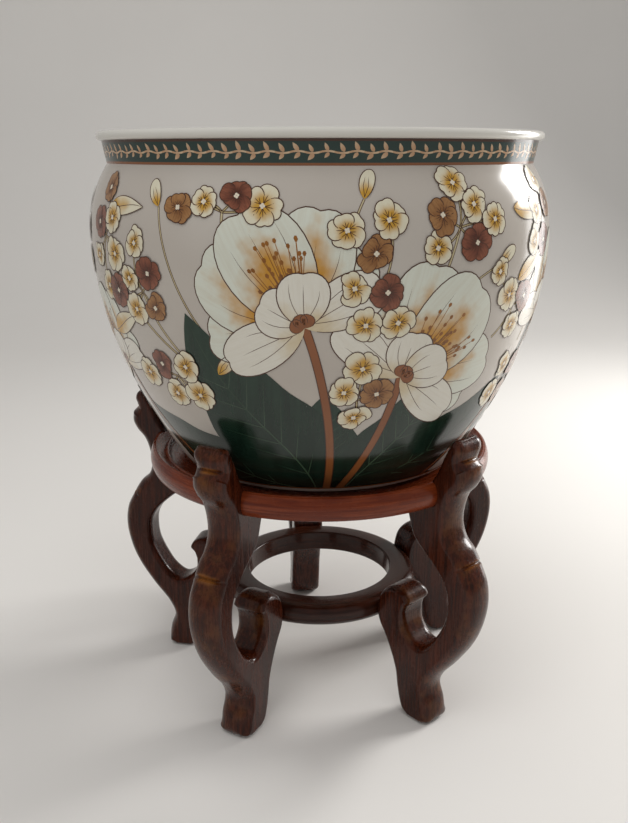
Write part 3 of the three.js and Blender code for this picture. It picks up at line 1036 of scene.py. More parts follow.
@dataclass(frozen=True)
class Bouquet:
    """One side of the painting: leaves and stems from the foot, large and small flowers."""

    canvas: Canvas
    foot_z: float
    facing: float
    hand: int
    seed: int

    def spot(self, angle: float, height: float, turn: float = 0.0, size: float = 1.0) -> Spot:
        """A place right of the bouquet's middle, at a height above the foot."""
        run = self.canvas.meridian.run_at(self.foot_z + height)
        return Spot(self.facing + self.hand * angle, run, turn, size, self.hand)

    def line(self, start: Spot, end: Spot, sag: float, steps: int = 12) -> List[Point]:
        """A gently bowed line from one spot to another.

        Args:
            start: Its lower end.
            end: Its upper end.
            sag: How far it is bowed, as a share of its length.
            steps: Number of spans.

        Returns:
            Points in millimetres from the start.
        """
        x, y = self.canvas.reach(start, end.angle, end.run)
        return curve((0, 0), (x * 0.3 - y * sag, y * 0.3 + x * sag),
                     (x * 0.7 - y * sag, y * 0.7 + x * sag), (x, y), steps=steps)

    def leaf(self, spot: Spot, spine: Sequence[Point], width: float, level: float) -> None:
        """A broad dark leaf with a pale midrib and side veins.

        Args:
            spot: The leaf's base.
            spine: Two handles and the tip, in millimetres from the base.
            width: Greatest width.
            level: Its layer.
        """
        line = curve((0, 0), *spine, steps=26)
        last = len(line) - 1
        right, left, veins = [], [], []
        for i, ((x, y), (fx, fy)) in enumerate(zip(line, headings(line))):
            share = i / last
            half = width / 2 * (math.sin(math.pi * share**0.82) ** 0.85 * 0.97 + 0.03 * (1 - share))
            wave = 1 + 0.05 * math.sin(share * 19 + width)
            right.append((x + fy * half * wave, y - fx * half * wave))
            left.append((x - fy * half / wave, y + fx * half / wave))
            if 2 < i < last - 5 and i % 3 == 0:
                veins.append((i, half))
        self.canvas.fill(spot, right + left[-2:0:-1], (math.hypot(*line[-1]), width), Pot.LEAF, level)
        self.canvas.stroke(spot, line[:-1], 1.1, Pot.VEIN, level + 0.6, (1.0, 0.1))
        for i, half in veins:
            (x, y), (bx, by) = line[i], line[min(i + 5, last)]
            length = math.hypot(bx - x, by - y)
            fx, fy = (bx - x) / length, (by - y) / length
            for side in (-1, 1):
                knots = [(x + half * (fx * on + fy * side * out), y + half * (fy * on - fx * side * out))
                         for on, out in ((0.3, 0.25), (0.62, 0.5), (0.9, 0.74))]
                path = curve((x, y), *knots, steps=5)
                self.canvas.stroke(spot, path, 0.55, Pot.VEIN, level + 0.5, (0.8, 0.1))

    def stem(self, start: Spot, end: Spot, width: float, sag: float, level: float,
             pot: Pot = Pot.STEM) -> None:
        """A flat stem with a line along both sides.

        Args:
            start: Its lower end.
            end: Its upper end.
            width: Its width.
            sag: How far it is bowed.
            level: Its layer.
            pot: Its colour.
        """
        line = self.line(start, end, sag, 22)
        self.canvas.stroke(start, line, width, pot, level, (1, 1))
        for side in (-1, 1):
            edge = [(x + side * fy * width / 2, y - side * fx * width / 2)
                    for (x, y), (fx, fy) in zip(line, headings(line))]
            self.canvas.stroke(start, edge, 0.6 if width > 3 else 0.45, Pot.LINE, level + 0.5, (1, 1))

    def small_flower(self, spot: Spot, radius: float, pot: Pot, level: float, chance: Random) -> None:
        """A five-petalled flower, seen from the front or a little from the side.

        Args:
            spot: Its middle.
            radius: Length of its petals.
            pot: Its colour.
            level: Its lowest layer.
            chance: Source of small differences.
        """
        aside, squash = chance.uniform(0, 180), chance.uniform(0, 0.34)
        for i in range(FLOWER_PETALS):
            turn = spot.turn + 360 / FLOWER_PETALS * i + chance.uniform(-6, 6)
            place = replace(spot, turn=turn, size=chance.uniform(0.92, 1.06))
            length = radius * (1 - squash * math.cos(math.radians(turn - aside)) ** 2)
            shape = petal(length, radius * 0.98, chance.uniform(0.0, 0.14), chance.uniform(-0.2, 0.2), 5)
            step = level + 0.8 * i
            self.canvas.fill(place, shape, (length, radius), pot, step, chance.random() * 0.6)
            self.canvas.stroke(place, shape[3:-2], 0.66, Pot.LINE, step + 0.35, (0.5, 0.5))
            for side in (-1, 0, 1):
                reach = 0.55 if side == 0 else 0.42
                vein = [(0, length * 0.1), (side * radius * 0.07, length * 0.26),
                        (side * radius * 0.17, length * reach)]
                self.canvas.stroke(place, vein, 0.42, Pot.LINE, level + 3.8, (0.8, 0.1))
        for i in range(EYE_DOTS):
            turn = math.radians(360 / EYE_DOTS * i + 20)
            disc = oval(math.cos(turn) * 0.95, math.sin(turn) * 0.95, 0.9, 0.9, 7)
            self.canvas.fill(spot, disc, (2, 2), Pot.EYE, level + 4.3)

    def blossom(self, spot: Spot, level: float, chance: Random) -> None:
        """A large white blossom seen from the side, with its heart open.

        Args:
            spot: Its calyx.
            level: Its lowest layer.
            chance: Source of small differences.
        """
        for order, (turn, length, width) in enumerate(BACK_PETALS + FRONT_PETALS):
            behind = order < len(BACK_PETALS)
            place = replace(spot, turn=spot.turn + turn + chance.uniform(-3, 3))
            lean = chance.uniform(-0.2, 0.2) + (0.3 if turn > 40 else -0.3 if turn < -40 else 0)
            shape = petal(length, width, 0.05, lean, 8)
            step = level + order + (1.0 if not behind else 0.0)
            pot = Pot.BLOSSOM_BACK if behind else Pot.BLOSSOM
            self.canvas.fill(place, shape, (length, width / 2), pot, step, chance.random() * 0.3)
            self.canvas.stroke(place, shape[2:-1], 0.75, Pot.LINE, step + 0.5, (0.5, 0.5))
            for side in (-0.45, 0.0, 0.5):
                tip = (side * width * 0.6, length * chance.uniform(0.6, 0.8))
                path = curve((side * width * 0.06, length * 0.12), (side * width * 0.4, length * 0.32),
                             (side * width * 0.62, length * 0.5), tip)
                bent = [(x + lean * width / 2 * (y / length) ** 2, y) for x, y in path]
                self.canvas.stroke(place, bent, 0.4, Pot.LINE, step + 0.4, (0.8, 0.05))
        middle = level + len(BACK_PETALS)
        for _ in range(STAMENS):
            turn, reach = chance.uniform(-26, 30), chance.uniform(20, 44)
            place = replace(spot, turn=spot.turn + turn)
            bend = chance.uniform(-2, 2)
            thread = [(0, 14), (bend * 0.3, reach * 0.6), (bend, reach)]
            self.canvas.stroke(place, thread, 0.5, Pot.POLLEN, middle, (1, 0.6))
            self.canvas.fill(place, oval(bend, reach, 0.95, 1.25, 6), (40, 40), Pot.POLLEN, middle + 0.5, 1.0)
        cup = petal(7, 7, 0.0, 0.0, 4)
        over = level + len(BACK_PETALS + FRONT_PETALS)
        for turn in (-50, 50, 0):
            place = replace(spot, turn=spot.turn + turn)
            self.canvas.fill(place, cup, (7, 4), Pot.STEM, over + 1.2)
            self.canvas.stroke(place, cup[2:-1], 0.5, Pot.LINE, over + 1.6)

    def cluster(self, start: Spot, node: Spot, flowers: Sequence[Tuple[float, float, Pot]], sag: float,
                level: float, chance: Random) -> None:
        """Small flowers on short stalks that spread from one twig.

        Args:
            start: Where the twig begins.
            node: Where its stalks part.
            flowers: Angle and height of each flower from the node, and its colour.
            sag: How far the twig is bowed.
            level: The lowest layer.
            chance: Source of small differences.
        """
        self.stem(start, node, 1.7, sag, 0, Pot.TWIG)
        for order, (dx, dy, pot) in enumerate(flowers):
            turn = chance.uniform(0, 72)
            flat_x, run = self.canvas.lay(replace(node, turn=0, size=1), dx, dy)
            place = Spot(math.degrees(flat_x / Canvas.SPREAD_R), run, turn, 1.0, self.hand)
            self.stem(node, place, 1.3, chance.uniform(-0.2, 0.2), 0, Pot.TWIG)
            self.small_flower(place, chance.uniform(11.0, 13.6), pot, level + 0.8 + order % 2 * 4.2, chance)

    def bud(self, start: Spot, place: Spot, level: float) -> None:
        """A closed cream bud on a thin stalk.

        Args:
            start: Where the stalk begins.
            place: The bud's base.
            level: Its layer.
        """
        self.stem(start, place, 1.3, 0.12, 0, Pot.TWIG)
        shape = petal(19, 9.5, -0.02, 0.3, 5)
        self.canvas.fill(place, shape, (19, 6), Pot.CREAM, level + 0.4)
        self.canvas.stroke(place, shape[1:-1], 0.6, Pot.LINE, level + 0.8)
        for lean in (-1.6, 1.6):
            crease = [(0, 1), (lean, 8), (lean * 0.6, 14)]
            self.canvas.stroke(place, crease, 0.4, Pot.LINE, level + 0.8, (1, 0.1))

    def pale_leaf(self, place: Spot, length: float, level: float) -> None:
        """A folded cream leaf drawn with thin lines.

        Args:
            place: Its base.
            length: Its length.
            level: Its layer.
        """
        shape = blade(length, length * 0.32, 0.5, 12)
        self.canvas.fill(place, shape, (length, length * 0.15), Pot.CREAM, level)
        self.canvas.stroke(place, shape[1:-1], 0.6, Pot.LINE, level + 0.5)
        fold = curve((0, 0), (length * 0.06, length * 0.3), (-length * 0.03, length * 0.66),
                     (length * 0.07, length * 0.96), steps=9)
        self.canvas.stroke(place, fold, 0.45, Pot.LINE, level + 0.5, (1, 0.3))

    def foot(self) -> None:
        """Draws the dark ground that the leaves grow from and the line along the foot."""
        hem = self.canvas.hem
        middle = self.spot(0, hem)
        low = [self.canvas.reach(middle, angle, hem) for angle in range(-50, 51, 5)]
        high = [self.canvas.reach(middle, angle, hem + FOOT_RISE * math.cos(math.radians(angle * 1.75)))
                for angle in range(45, -46, -5)]
        self.canvas.fill(middle, [*low, *high], (99, 99), Pot.LEAF, 0.6)
        edge = [self.canvas.reach(middle, angle, hem + 0.9) for angle in range(-90, 91, 3)]
        self.canvas.stroke(middle, edge, 1.3, Pot.STEM, 10.5, (1, 1))

    def paint(self) -> None:
        """Draws the bouquet, from the leaves at the foot to the flowers in front."""
        chance = Random(self.seed)
        spot = self.spot
        self.foot()
        for angle, height, spine, width, level in LEAVES:
            self.leaf(spot(angle, height), spine, width, level)
        for calyx, base, width, sag, _ in BLOSSOMS:
            self.stem(spot(*base), spot(*calyx), width, sag, STEM_LEVEL)
        for start, node, sag, flowers in SPRAYS:
            self.cluster(spot(*start), spot(*node), flowers, sag, SPRAY_LEVEL, chance)
        for start, place, level in BUDS:
            self.bud(spot(*start), spot(*place), level)
        for angle, height, turn, length in PALE_LEAVES:
            self.pale_leaf(spot(angle, height, turn), length, PALE_LEVEL)
        for calyx, _, _, _, level in BLOSSOMS:
            self.blossom(spot(*calyx), level, chance)


@dataclass(frozen=True)
class Border:
    """The painted band under the lip: a green ground between brown lines, with a leafy vine."""

    shape: BowlShape
    facing: float
    pitch: float = 9.0
    line: float = 1.7
    seed: int = 5

    def band(self, low: float, high: float, raised: float) -> Mesh:
        """A turned strip on the border between two shares of its height.

        Args:
            low: Share at its lower edge.
            high: Share at its upper edge.
            raised: How far it stands off the porcelain.

        Returns:
            The strip.
        """
        side = self.shape.border()
        (r0, z0), (r1, z1) = side[0], side[-1]
        shares = [low + (high - low) * i / 4 for i in range(5)]
        mesh = spun([(r0 + (r1 - r0) * s + raised, z0 + (z1 - z0) * s) for s in shares], BOWL_STEPS, False)
        for face in mesh.faces:
            face.smooth = True
            if face.normal.dot(face.calc_center_median()) < 0:
                face.normal_flip()
        return mesh

    def build(self, paints: Dict[Pot, bpy.types.Material]) -> List[bpy.types.Object]:
        """Makes the ground, the two lines and the vine.

        Args:
            paints: The material of each colour.

        Returns:
            The pieces.
        """
        span = self.shape.rim_height - self.shape.lip_height
        share = self.line / span
        bands = (("ground", share, 1 - share, 0.05, Pot.BAND), ("lower_line", 0.004, share, 0.07, Pot.STEM),
                 ("upper_line", 1 - share, 0.996, 0.07, Pot.LINE))
        made = [piece(f"border_{name}", self.band(low, high, raised), paints[pot], "bowl")
                for name, low, high, raised, pot in bands]
        canvas = Canvas(Meridian(self.shape.border()), self.facing)
        chance = Random(self.seed)
        count = round(math.tau * self.shape.crease_r / self.pitch)
        middle = canvas.meridian.runs[-1] * 0.5
        for i in range(count):
            spot = Spot(360 * (i + 0.5) / count - 180, middle)
            start, end = -self.pitch / 2, self.pitch / 2
            sway = 0.55 if i % 2 else -0.55
            path = curve((start, -sway * 0.2), (start * 0.4, sway * 1.5), (end * 0.4, sway * 1.5),
                         (end, sway * 0.2), steps=5)
            canvas.stroke(spot, path, 1.15, Pot.VINE, 1.5, (1, 1))
            for up in (1, -1):
                lean = chance.uniform(28, 46)
                turn = -lean if up > 0 else 180 + lean
                flat_x, run = canvas.lay(spot, 1.2 + chance.uniform(-0.6, 0.6), up * 0.5 + sway * 0.6)
                place = Spot(math.degrees(flat_x / Canvas.SPREAD_R), run, turn, chance.uniform(0.85, 1.1))
                length = 5.9 if up > 0 else 5.0
                canvas.fill(place, blade(length, 2.7, 0.5, 6), (6, 1), Pot.VINE, 2.2, chance.random())
        return made + canvas.wrap("border", paints)


@dataclass(frozen=True)
class Bowl:
    """The porcelain bowl with its glaze, border and painting."""

    shape: BowlShape = field(default_factory=BowlShape)
    facing: float = -97.2
    foot_band: float = 2.6
    # The third colour is a painted highlight on the lip, and the two heights after it are where it blends in.
    ground: Glaze = Glaze("porcelain_glaze", screen(193, 186, 177), screen(184, 175, 165),
                          screen(214, 211, 203), (0.4454, 0.4464))
    enamels: Tuple[Tuple[Pot, Enamel], ...] = (
        (Pot.LINE, Enamel("brown_line", screen(72, 42, 28), screen(88, 54, 36))),
        (Pot.VEIN, Enamel("leaf_vein", screen(62, 80, 62), screen(44, 64, 48))),
        (Pot.LEAF, Enamel("leaf_green", screen(24, 42, 33), screen(32, 56, 42), (0.0, 1.0), 0.4)),
        (Pot.TWIG, Enamel("twig_buff", screen(176, 160, 118), screen(196, 184, 148))),
        (Pot.STEM, Enamel("stem_brown", screen(132, 80, 44), screen(140, 84, 46), (0.0, 1.0), 0.2)),
        (Pot.BLOSSOM, Enamel("blossom_white", screen(206, 190, 158), screen(222, 218, 206),
                             (0.05, 0.5), 0.12)),
        (Pot.BLOSSOM_BACK, Enamel("blossom_heart", screen(192, 138, 44), screen(214, 217, 204),
                                  (0.5, 0.98), 0.1, 0.5)),
        (Pot.POLLEN, Enamel("pollen_ochre", screen(122, 76, 32), screen(160, 104, 40), (0.2, 0.9))),
        (Pot.RUST, Enamel("rust_petal", screen(98, 50, 34), screen(142, 84, 60), (0.1, 0.9), 0.4)),
        (Pot.TAN, Enamel("tan_petal", screen(138, 92, 50), screen(164, 120, 74), (0.1, 0.9), 0.35)),
        (Pot.CREAM, Enamel("cream_petal", screen(194, 148, 52), screen(220, 214, 190),
                           (0.26, 0.84), 0.1, 0.3)),
        (Pot.EYE, Enamel("pale_eye", screen(226, 216, 196), screen(226, 216, 196))),
        (Pot.BAND, Enamel("band_green", screen(32, 56, 50), screen(32, 56, 50), (0.0, 1.0), 0.3)),
        (Pot.VINE, Enamel("vine_buff", screen(190, 152, 118), screen(208, 182, 150), (0.2, 0.9), 0.2)),
    )

    def build(self) -> List[bpy.types.Object]:
        """Makes the turned bowl and everything painted on it.

        Returns:
            The pieces.
        """
        mesh = spun(self.shape.outline(), BOWL_STEPS, False)
        soften(mesh, SHARP)
        body = piece("bowl_porcelain", mesh, self.ground.material(), "bowl")
        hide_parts("bowl")
        paints = {pot: enamel.material() for pot, enamel in self.enamels}
        canvas = Canvas(Meridian(self.shape.side()), self.facing, self.foot_band)
        for facing, hand, seed in ((0.0, 1, 11), (180.0, -1, 23)):
            Bouquet(canvas, self.shape.foot_z, facing, hand, seed).paint()
        painted = canvas.wrap("painting", paints)
        return [body, *painted, *Border(self.shape, self.facing).build(paints)]


# ---------------------------------------------------------------- stand


def grown(profile: Sequence[Point], distance: float) -> List[Point]:
    """Moves a closed counter-clockwise profile outward by a distance.

    Args:
        profile: [radius, height] points.
        distance: How far out.

    Returns:
        The moved points.
    """
    count = len(profile)
    moved = []
    for i, (r, z) in enumerate(profile):
        normals = []
        for a, b in ((profile[i - 1], profile[i]), (profile[i], profile[(i + 1) % count])):
            normals.append(Vector((b[1] - a[1], a[0] - b[0])).normalized())
        mitre = normals[0] + normals[1]
        mitre *= distance / max(mitre.dot(normals[1]), 0.5)
        moved.append((r + mitre.x, z + mitre.y))
    return moved


@dataclass(frozen=True)
class Ring:
    """A turned wooden ring."""

    name: str
    finish: Lacquer
    slot: str
    profile: Tuple[Point, ...]
    grain_r: float = 0.14

    def build(self) -> bpy.types.Object:
        """Turns the section and lays the grain round it.

        Returns:
            The ring.
        """
        mesh = spun(self.profile, RING_STEPS, True)
        soften(mesh, SHARP)
        grain = mesh.loops.layers.uv.new("grain")
        for face in mesh.faces:
            middle = face.calc_center_median()
            centre = math.atan2(middle.y, middle.x)
            for loop in face.loops:
                co = loop.vert.co
                turn = centre + math.remainder(math.atan2(co.y, co.x) - centre, math.tau)
                loop[grain].uv = (turn * self.grain_r, co.z + math.hypot(co.x, co.y) * 0.8)
        return piece(self.name, mesh, self.finish.material(), "stand")


@dataclass(frozen=True)
class RingSizes:
    """Sizes of the two rings."""

    top_under_z: float = 190.0
    top_height: float = 19.0
    top_outer_r: float = 142.0
    top_hole_r: float = 95.0
    bulge: float = 3.0
    seat_r: float = 125.0
    seat_z: float = 200.0
    bead: float = 4.5
    low_mid_z: float = 82.5
    low_height: float = 18.0
    low_outer_r: float = 84.0
    low_hole_r: float = 62.5
    low_round: float = 8.0
    low_ease: float = 1.5

    def top(self) -> List[Point]:
        """Section of the top ring, with its swelling face, dished top, bead and sunk seat.

        Returns:
            [radius, height] points.
        """
        half, under, top = self.top_height / 2, self.top_under_z, self.top_under_z + self.top_height
        edge = self.top_outer_r - self.bulge
        face = [(self.top_outer_r - self.bulge * t * t, under + half * (1 + t)) for t in
                [-0.9 + 1.8 * i / 12 for i in range(13)]]
        bead_r = self.seat_r + self.bead - 1.5
        return [
            (self.top_hole_r + 0.8, under), (edge - 1.6, under), (edge - 0.4, under + 0.4),
            *face,
            *arc(edge - 1.4, top - 1.1, 1.1, 30, 110, 5),
            (edge - 4.5, top - 1.6), (bead_r + 3.4, self.seat_z + self.bead + 0.1),
            (bead_r + 1.9, self.seat_z + self.bead - 1.2),
            *arc(bead_r, self.seat_z + self.bead - 1.1, 1.5, 0, 180, 8),
            (self.seat_r + 0.2, self.seat_z + 0.5), (self.seat_r - 0.6, self.seat_z),
            (self.top_hole_r + 0.8, self.seat_z), (self.top_hole_r, self.seat_z - 0.8),
            (self.top_hole_r, under + 0.8),
        ]

    def low(self) -> List[Point]:
        """Section of the lower ring, well rounded outside and softened round the hole.

        Returns:
            [radius, height] points.
        """
        top, under = self.low_mid_z + self.low_height / 2, self.low_mid_z - self.low_height / 2
        outer, inner = self.low_outer_r - self.low_round, self.low_hole_r + self.low_ease
        return [
            *arc(outer, under + self.low_round, self.low_round, -90, 0, 9),
            *arc(outer, top - self.low_round, self.low_round, 0, 90, 9),
            *arc(inner, top - self.low_ease, self.low_ease, 90, 180, 4),
            *arc(inner, under + self.low_ease, self.low_ease, 180, 270, 4),
        ]


@dataclass(frozen=True)
class Legs:
    """Five sawn, rounded and carved legs with notches for both rings."""

    rings: RingSizes
    finish: Lacquer
    count: int = 5
    thickness: float = 28.0
    ledge: float = 30.0
    clasp: float = 8.0
    bite: float = 1.0
    belly: float = 177.5
    belly_drop: float = 16.0
    belly_depth: float = 25.0
    toe: float = 141.0
    foot_depth: float = 36.0
    face_round: float = 8.5
    inner_round: float = 5.0
    scroll_round: float = 3.5
    nose_round: float = 3.5
    sole_round: float = 4.0
    seat_round: float = 0.6
    groove_width: float = 3.6
    groove_depth: float = 2.0
    fit: float = 0.3
    crown: float = 1.5
    round_steps: int = 8
    span_steps: int = 5
    sharp: float = 38.0
    face_wear: float = 0.2
    groove_wear: float = 0.9
    wear_reach: float = 2.2
    grain_shift: Triple = (0.31, 0.17, 0.23)

    def groove_spots(self) -> List[Triple]:
        """Reach, height and slope in degrees of the grooves at the cuff and at the neck.

        Returns:
            The two grooves.
        """
        rings = self.rings
        top = rings.top_under_z + rings.top_height
        return [(rings.top_outer_r + 25.8, rings.top_under_z - 40.5, 119.0),
                (rings.top_outer_r + 19, top + 20.3, 104.0)]

    def stretches(self) -> List[List[Triple]]:
        """The outline's stretches as stations of reach, height and round-over.

        Returns:
            Seven stretches, counter-clockwise from the sole.
        """
        rings = self.rings
        ring, under, top = rings.top_outer_r, rings.top_under_z, rings.top_under_z + rings.top_height
        belly_z = (under + rings.low_mid_z) / 2 - self.belly_drop
        toe, heel = self.toe, self.toe - self.foot_depth
        belly, inside = self.belly, self.belly - self.belly_depth
        ledge, scroll, low = ring - self.ledge, rings.low_outer_r - self.bite, rings.low_mid_z
        face, inner, curl, nose, sole, seat = (self.face_round, self.inner_round, self.scroll_round,
                                               self.nose_round, self.sole_round, self.seat_round)
        ends = []
        for u, z, degrees in self.groove_spots():
            du = math.cos(math.radians(degrees)) * self.groove_width / 2
            dz = math.sin(math.radians(degrees)) * self.groove_width / 2
            ends.append(((u - du, z - dz, face), (u + du, z + dz, face)))
        (cuff_low, cuff_high), (neck_low, neck_high) = ends
        return [
            [(toe - 8, 0, sole), (toe - 2, 2.8, 5), (toe, 9, face), (toe - 1.5, 18, face),
             (toe - 5.5, 30, face), (toe - 1, 42, face), (belly - 23.5, belly_z - 60, face),
             (belly - 10.5, belly_z - 40, face), (belly - 3.5, belly_z - 23, face),
             (belly, belly_z - 3, face), (belly - 2, belly_z + 14, face), cuff_low],
            [cuff_high, (ring + 19.5, under - 31, face), (ring + 12, under - 24, face),
             (ring + 8.5, under - 14, face), (ring + 9.5, under - 2, face),
             (ring + 13.5, under + 10, face), (ring + 20, top - 1, face), (ring + 23.5, top + 7, face),
             (ring + 22.5, top + 14.5, face), neck_low],
            [neck_high, (ring + 19, top + 28, 6), (ring + 16, top + 33.5, 4),
             (ring + 11.5, top + 35.5, inner), (ring + 8, top + 34, inner)],
            [(ring + 6, top + 30.5, inner), (ring + 1, top + 20, inner), (ring - 3.5, top + 9, inner),
             (ring - self.clasp, top - 2.5, seat)],
            [(ring - self.clasp, under - self.fit, seat), (ledge, under - self.fit, seat)],
            [(ledge + 0.3, under - 8, 2), (ledge + 1, under - 18, inner),
             (ledge + 4.5, under - 28, inner), (ledge + 11, under - 36, inner),
             (ledge + 19, under - 42, inner), (inside - 14, belly_z + 21.5, inner),
             (inside - 6, belly_z + 13, inner), (inside - 1.2, belly_z + 4, inner),
             (inside, belly_z - 7, inner), (inside - 1.5, belly_z - 20, inner),
             (scroll + 60.5, low + 1.5, inner), (scroll + 53.5, low - 8.5, inner),
             (scroll + 44, low - 15, inner), (scroll + 35, low - 11.5, inner),
             (scroll + 28.5, low - 2.5, inner), (scroll + 27.3, low + 7.5, nose)],
            [(scroll + 29, low + 13, nose), (scroll + 32.5, low + 18, nose),
             (scroll + 29.5, low + 23.5, nose), (scroll + 20.5, low + 27, inner),
             (scroll + 11, low + 25, inner), (scroll + 4.5, low + 18.5, curl),
             (scroll + 1, low + 9.5, curl), (scroll, low, curl), (scroll + 2.3, low - 8.5, curl),
             (scroll + 7.5, low - 18.5, inner), (heel - 7, 50, inner), (heel - 2, 37, inner),
             (heel, 25, inner), (heel + 3, 12, inner), (heel + 7.5, 4, sole), (heel + 14, 0, sole)],
        ]

    def smooth(self, stations: Sequence[Triple]) -> List[Vector]:
        """A centripetal curve through stations.

        Args:
            stations: Points that the curve passes through.

        Returns:
            Points of the curve, `span_steps` to a span.
        """
        knots = [Vector(s) for s in stations]
        if len(knots) == 2:
            return knots
        knots = [knots[0] * 2 - knots[1], *knots, knots[-1] * 2 - knots[-2]]
        points = []
        for p0, p1, p2, p3 in zip(knots, knots[1:], knots[2:], knots[3:]):
            d0, d1, d2 = ((b - a).length ** 0.5 for a, b in ((p0, p1), (p1, p2), (p2, p3)))
            leave = ((p1 - p0) / d0 - (p2 - p0) / (d0 + d1) + (p2 - p1) / d1) * d1
            arrive = ((p2 - p1) / d1 - (p3 - p1) / (d1 + d2) + (p3 - p2) / d2) * d1
            for step in range(self.span_steps):
                t = step / self.span_steps
                points.append(p1 + leave * t + (p2 * 3 - p1 * 3 - leave * 2 - arrive) * t**2
                              + (p1 * 2 - p2 * 2 + leave + arrive) * t**3)
        return [*points, knots[-2]]

    def outline(self) -> List[CutStation]:
        """The whole outline as reach, height, round-over and depth of cut.

        Returns:
            The points in order.
        """
        belly, waist, knob, *rest = [self.smooth(s) for s in self.stretches()]
        points = [(*p, 0.0) for p in belly]
        for before, run in ((belly, waist), (waist, knob)):
            a, b = before[-1], run[0]
            for share, depth in ((0.18, 0.42), (0.34, 0.85), (0.5, 1.0), (0.66, 0.85), (0.82, 0.42)):
                p = a.lerp(b, share)
                points.append((p.x, p.y, p.z, depth * self.groove_depth))
            points += [(*p, 0.0) for p in run]
        return points + [(*p, 0.0) for run in rest for p in run]

    def eased(self, outline: List[CutStation]) -> List[CutStation]:
        """Holds the round-over below the outline's own radius where it turns tightly.

        Args:
            outline: Points of reach, height, round-over and cut.

        Returns:
            The same points with round-overs that change smoothly.
        """
        count = len(outline)
        held = []
        for i in range(count):
            a, b, c = (Vector(outline[k % count][:2]) for k in (i - 2, i, i + 2))
            before, after = b - a, c - b
            bend = before.angle_signed(after, 0.0) if before.length and after.length else 0.0
            radius = (before.length + after.length) / 2 / -bend if bend < -1e-3 else 99.0
            held.append(min(outline[i][2], radius * 0.8))
        for _ in range(4):
            held = [min(h, (held[i - 1] + h + held[(i + 1) % count]) / 3 + 0.05) for i, h in enumerate(held)]
        return [(u, z, h, cut) for (u, z, _, cut), h in zip(outline, held)]

    def board(self) -> Mesh:
        """One leg in the plane of +X, before its seats are cut.

        Returns:
            The board.
        """
        outline = self.eased(self.outline())
        count = len(outline)
        inward = []
        for i in range(count):
            (au, az, *_), (bu, bz, *_) = outline[i - 1], outline[(i + 1) % count]
            inward.append(Vector((az - bz, bu - au)).normalized())
        angles = [math.pi / 2 * i / self.round_steps for i in range(self.round_steps + 1)]
        rows = [(-1, a) for a in reversed(angles)] + [(1, a) for a in angles]
        mesh = bmesh.new()
        station = mesh.verts.layers.int.new("station")

        def place(i: int, side: int, angle: float) -> Vector:
            """Where a point of the outline lies in a row.

            Args:
                i: The point's number.
                side: -1 or 1.
                angle: How far round the round-over.

            Returns:
                The place, in metres.
            """
            u, z, round_over, cut = outline[i]
            depth = round_over * (1 - math.cos(angle)) + cut * math.cos(angle)
            across = self.thickness / 2 - round_over * self.crown * (1 - math.sin(angle))
            return Vector((u + inward[i].x * depth, side * across, z + inward[i].y * depth)) * MM

        verts = []
        for i in range(count):
            verts.append(mesh.verts.new(place(i, *rows[0])))
            verts[-1][station] = i
        face = mesh.faces.new(verts)
        for number, row in enumerate(rows[1:]):
            made = bmesh.ops.extrude_face_region(mesh, geom=[face])["geom"]
            if number:
                bmesh.ops.delete(mesh, geom=[face], context="FACES_ONLY")
            face = next(part for part in made if isinstance(part, bmesh.types.BMFace))
            for vert in face.verts:
                vert.co = place(vert[station], *row)
        bmesh.ops.recalc_face_normals(mesh, faces=mesh.faces)
        return mesh

    def carved(self) -> Mesh:
        """One leg with both rings' seats cut out of it.

        Returns:
            The leg, still in the plane of +X.
        """
        holder = linked("leg_blank", baked("leg_blank", self.board()))
        cutters = []
        for name, profile in (("top_cutter", self.rings.top()), ("low_cutter", self.rings.low())):
            cutter = linked(name, baked(name, spun(grown(profile, self.fit), RING_STEPS, True)))
            cut = holder.modifiers.new(name, "BOOLEAN")
            cut.operation, cut.solver, cut.object = "DIFFERENCE", "EXACT", cutter
            cutters.append(cutter)
        bpy.context.view_layer.update()
        shaped = holder.evaluated_get(bpy.context.evaluated_depsgraph_get())
        mesh = bmesh.new()
        mesh.from_mesh(shaped.to_mesh())
        shaped.to_mesh_clear()
        for thing in (holder, *cutters):
            data = thing.data
            bpy.data.objects.remove(thing)
            bpy.data.meshes.remove(data)
        return mesh

    def build(self) -> List[bpy.types.Object]:
        """Makes the five legs, each with its own grain.

        Returns:
            The legs.
        """
        leg = self.carved()
        soften(leg, self.sharp)
        leg.normal_update()
        leg.verts.layers.float_vector.new("grain")
        wear = leg.verts.layers.float_vector.new("wear")
        for vert in leg.verts:
            near = self.face_wear * max(0.0, vert.normal.x) ** 0.5
            for u, z, _ in self.groove_spots():
                distance = math.hypot(vert.co.x / MM - u, vert.co.z / MM - z)
                near = max(near, self.groove_wear * math.exp(-((distance / self.wear_reach) ** 2)))
            vert[wear] = Vector((near, near, near))
        material = self.finish.material()
        made = []
        for i in range(self.count):
            mesh = leg.copy()
            layer = mesh.verts.layers.float_vector["grain"]
            for vert in mesh.verts:
                vert[layer] = vert.co + Vector(self.grain_shift) * i
            turn = -math.pi / 2 + (i + 0.5) * math.tau / self.count
            bmesh.ops.rotate(mesh, verts=mesh.verts, cent=(0, 0, 0), matrix=Matrix.Rotation(turn, 3, "Z"))
            made.append(piece(f"carved_leg_{i + 1}", mesh, material, "stand"))
            flat = made[-1].modifiers.new("flat_sides", "WEIGHTED_NORMAL")
            flat.keep_sharp = True
            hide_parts(f"leg_{i + 1}")
        leg.free()
        return made


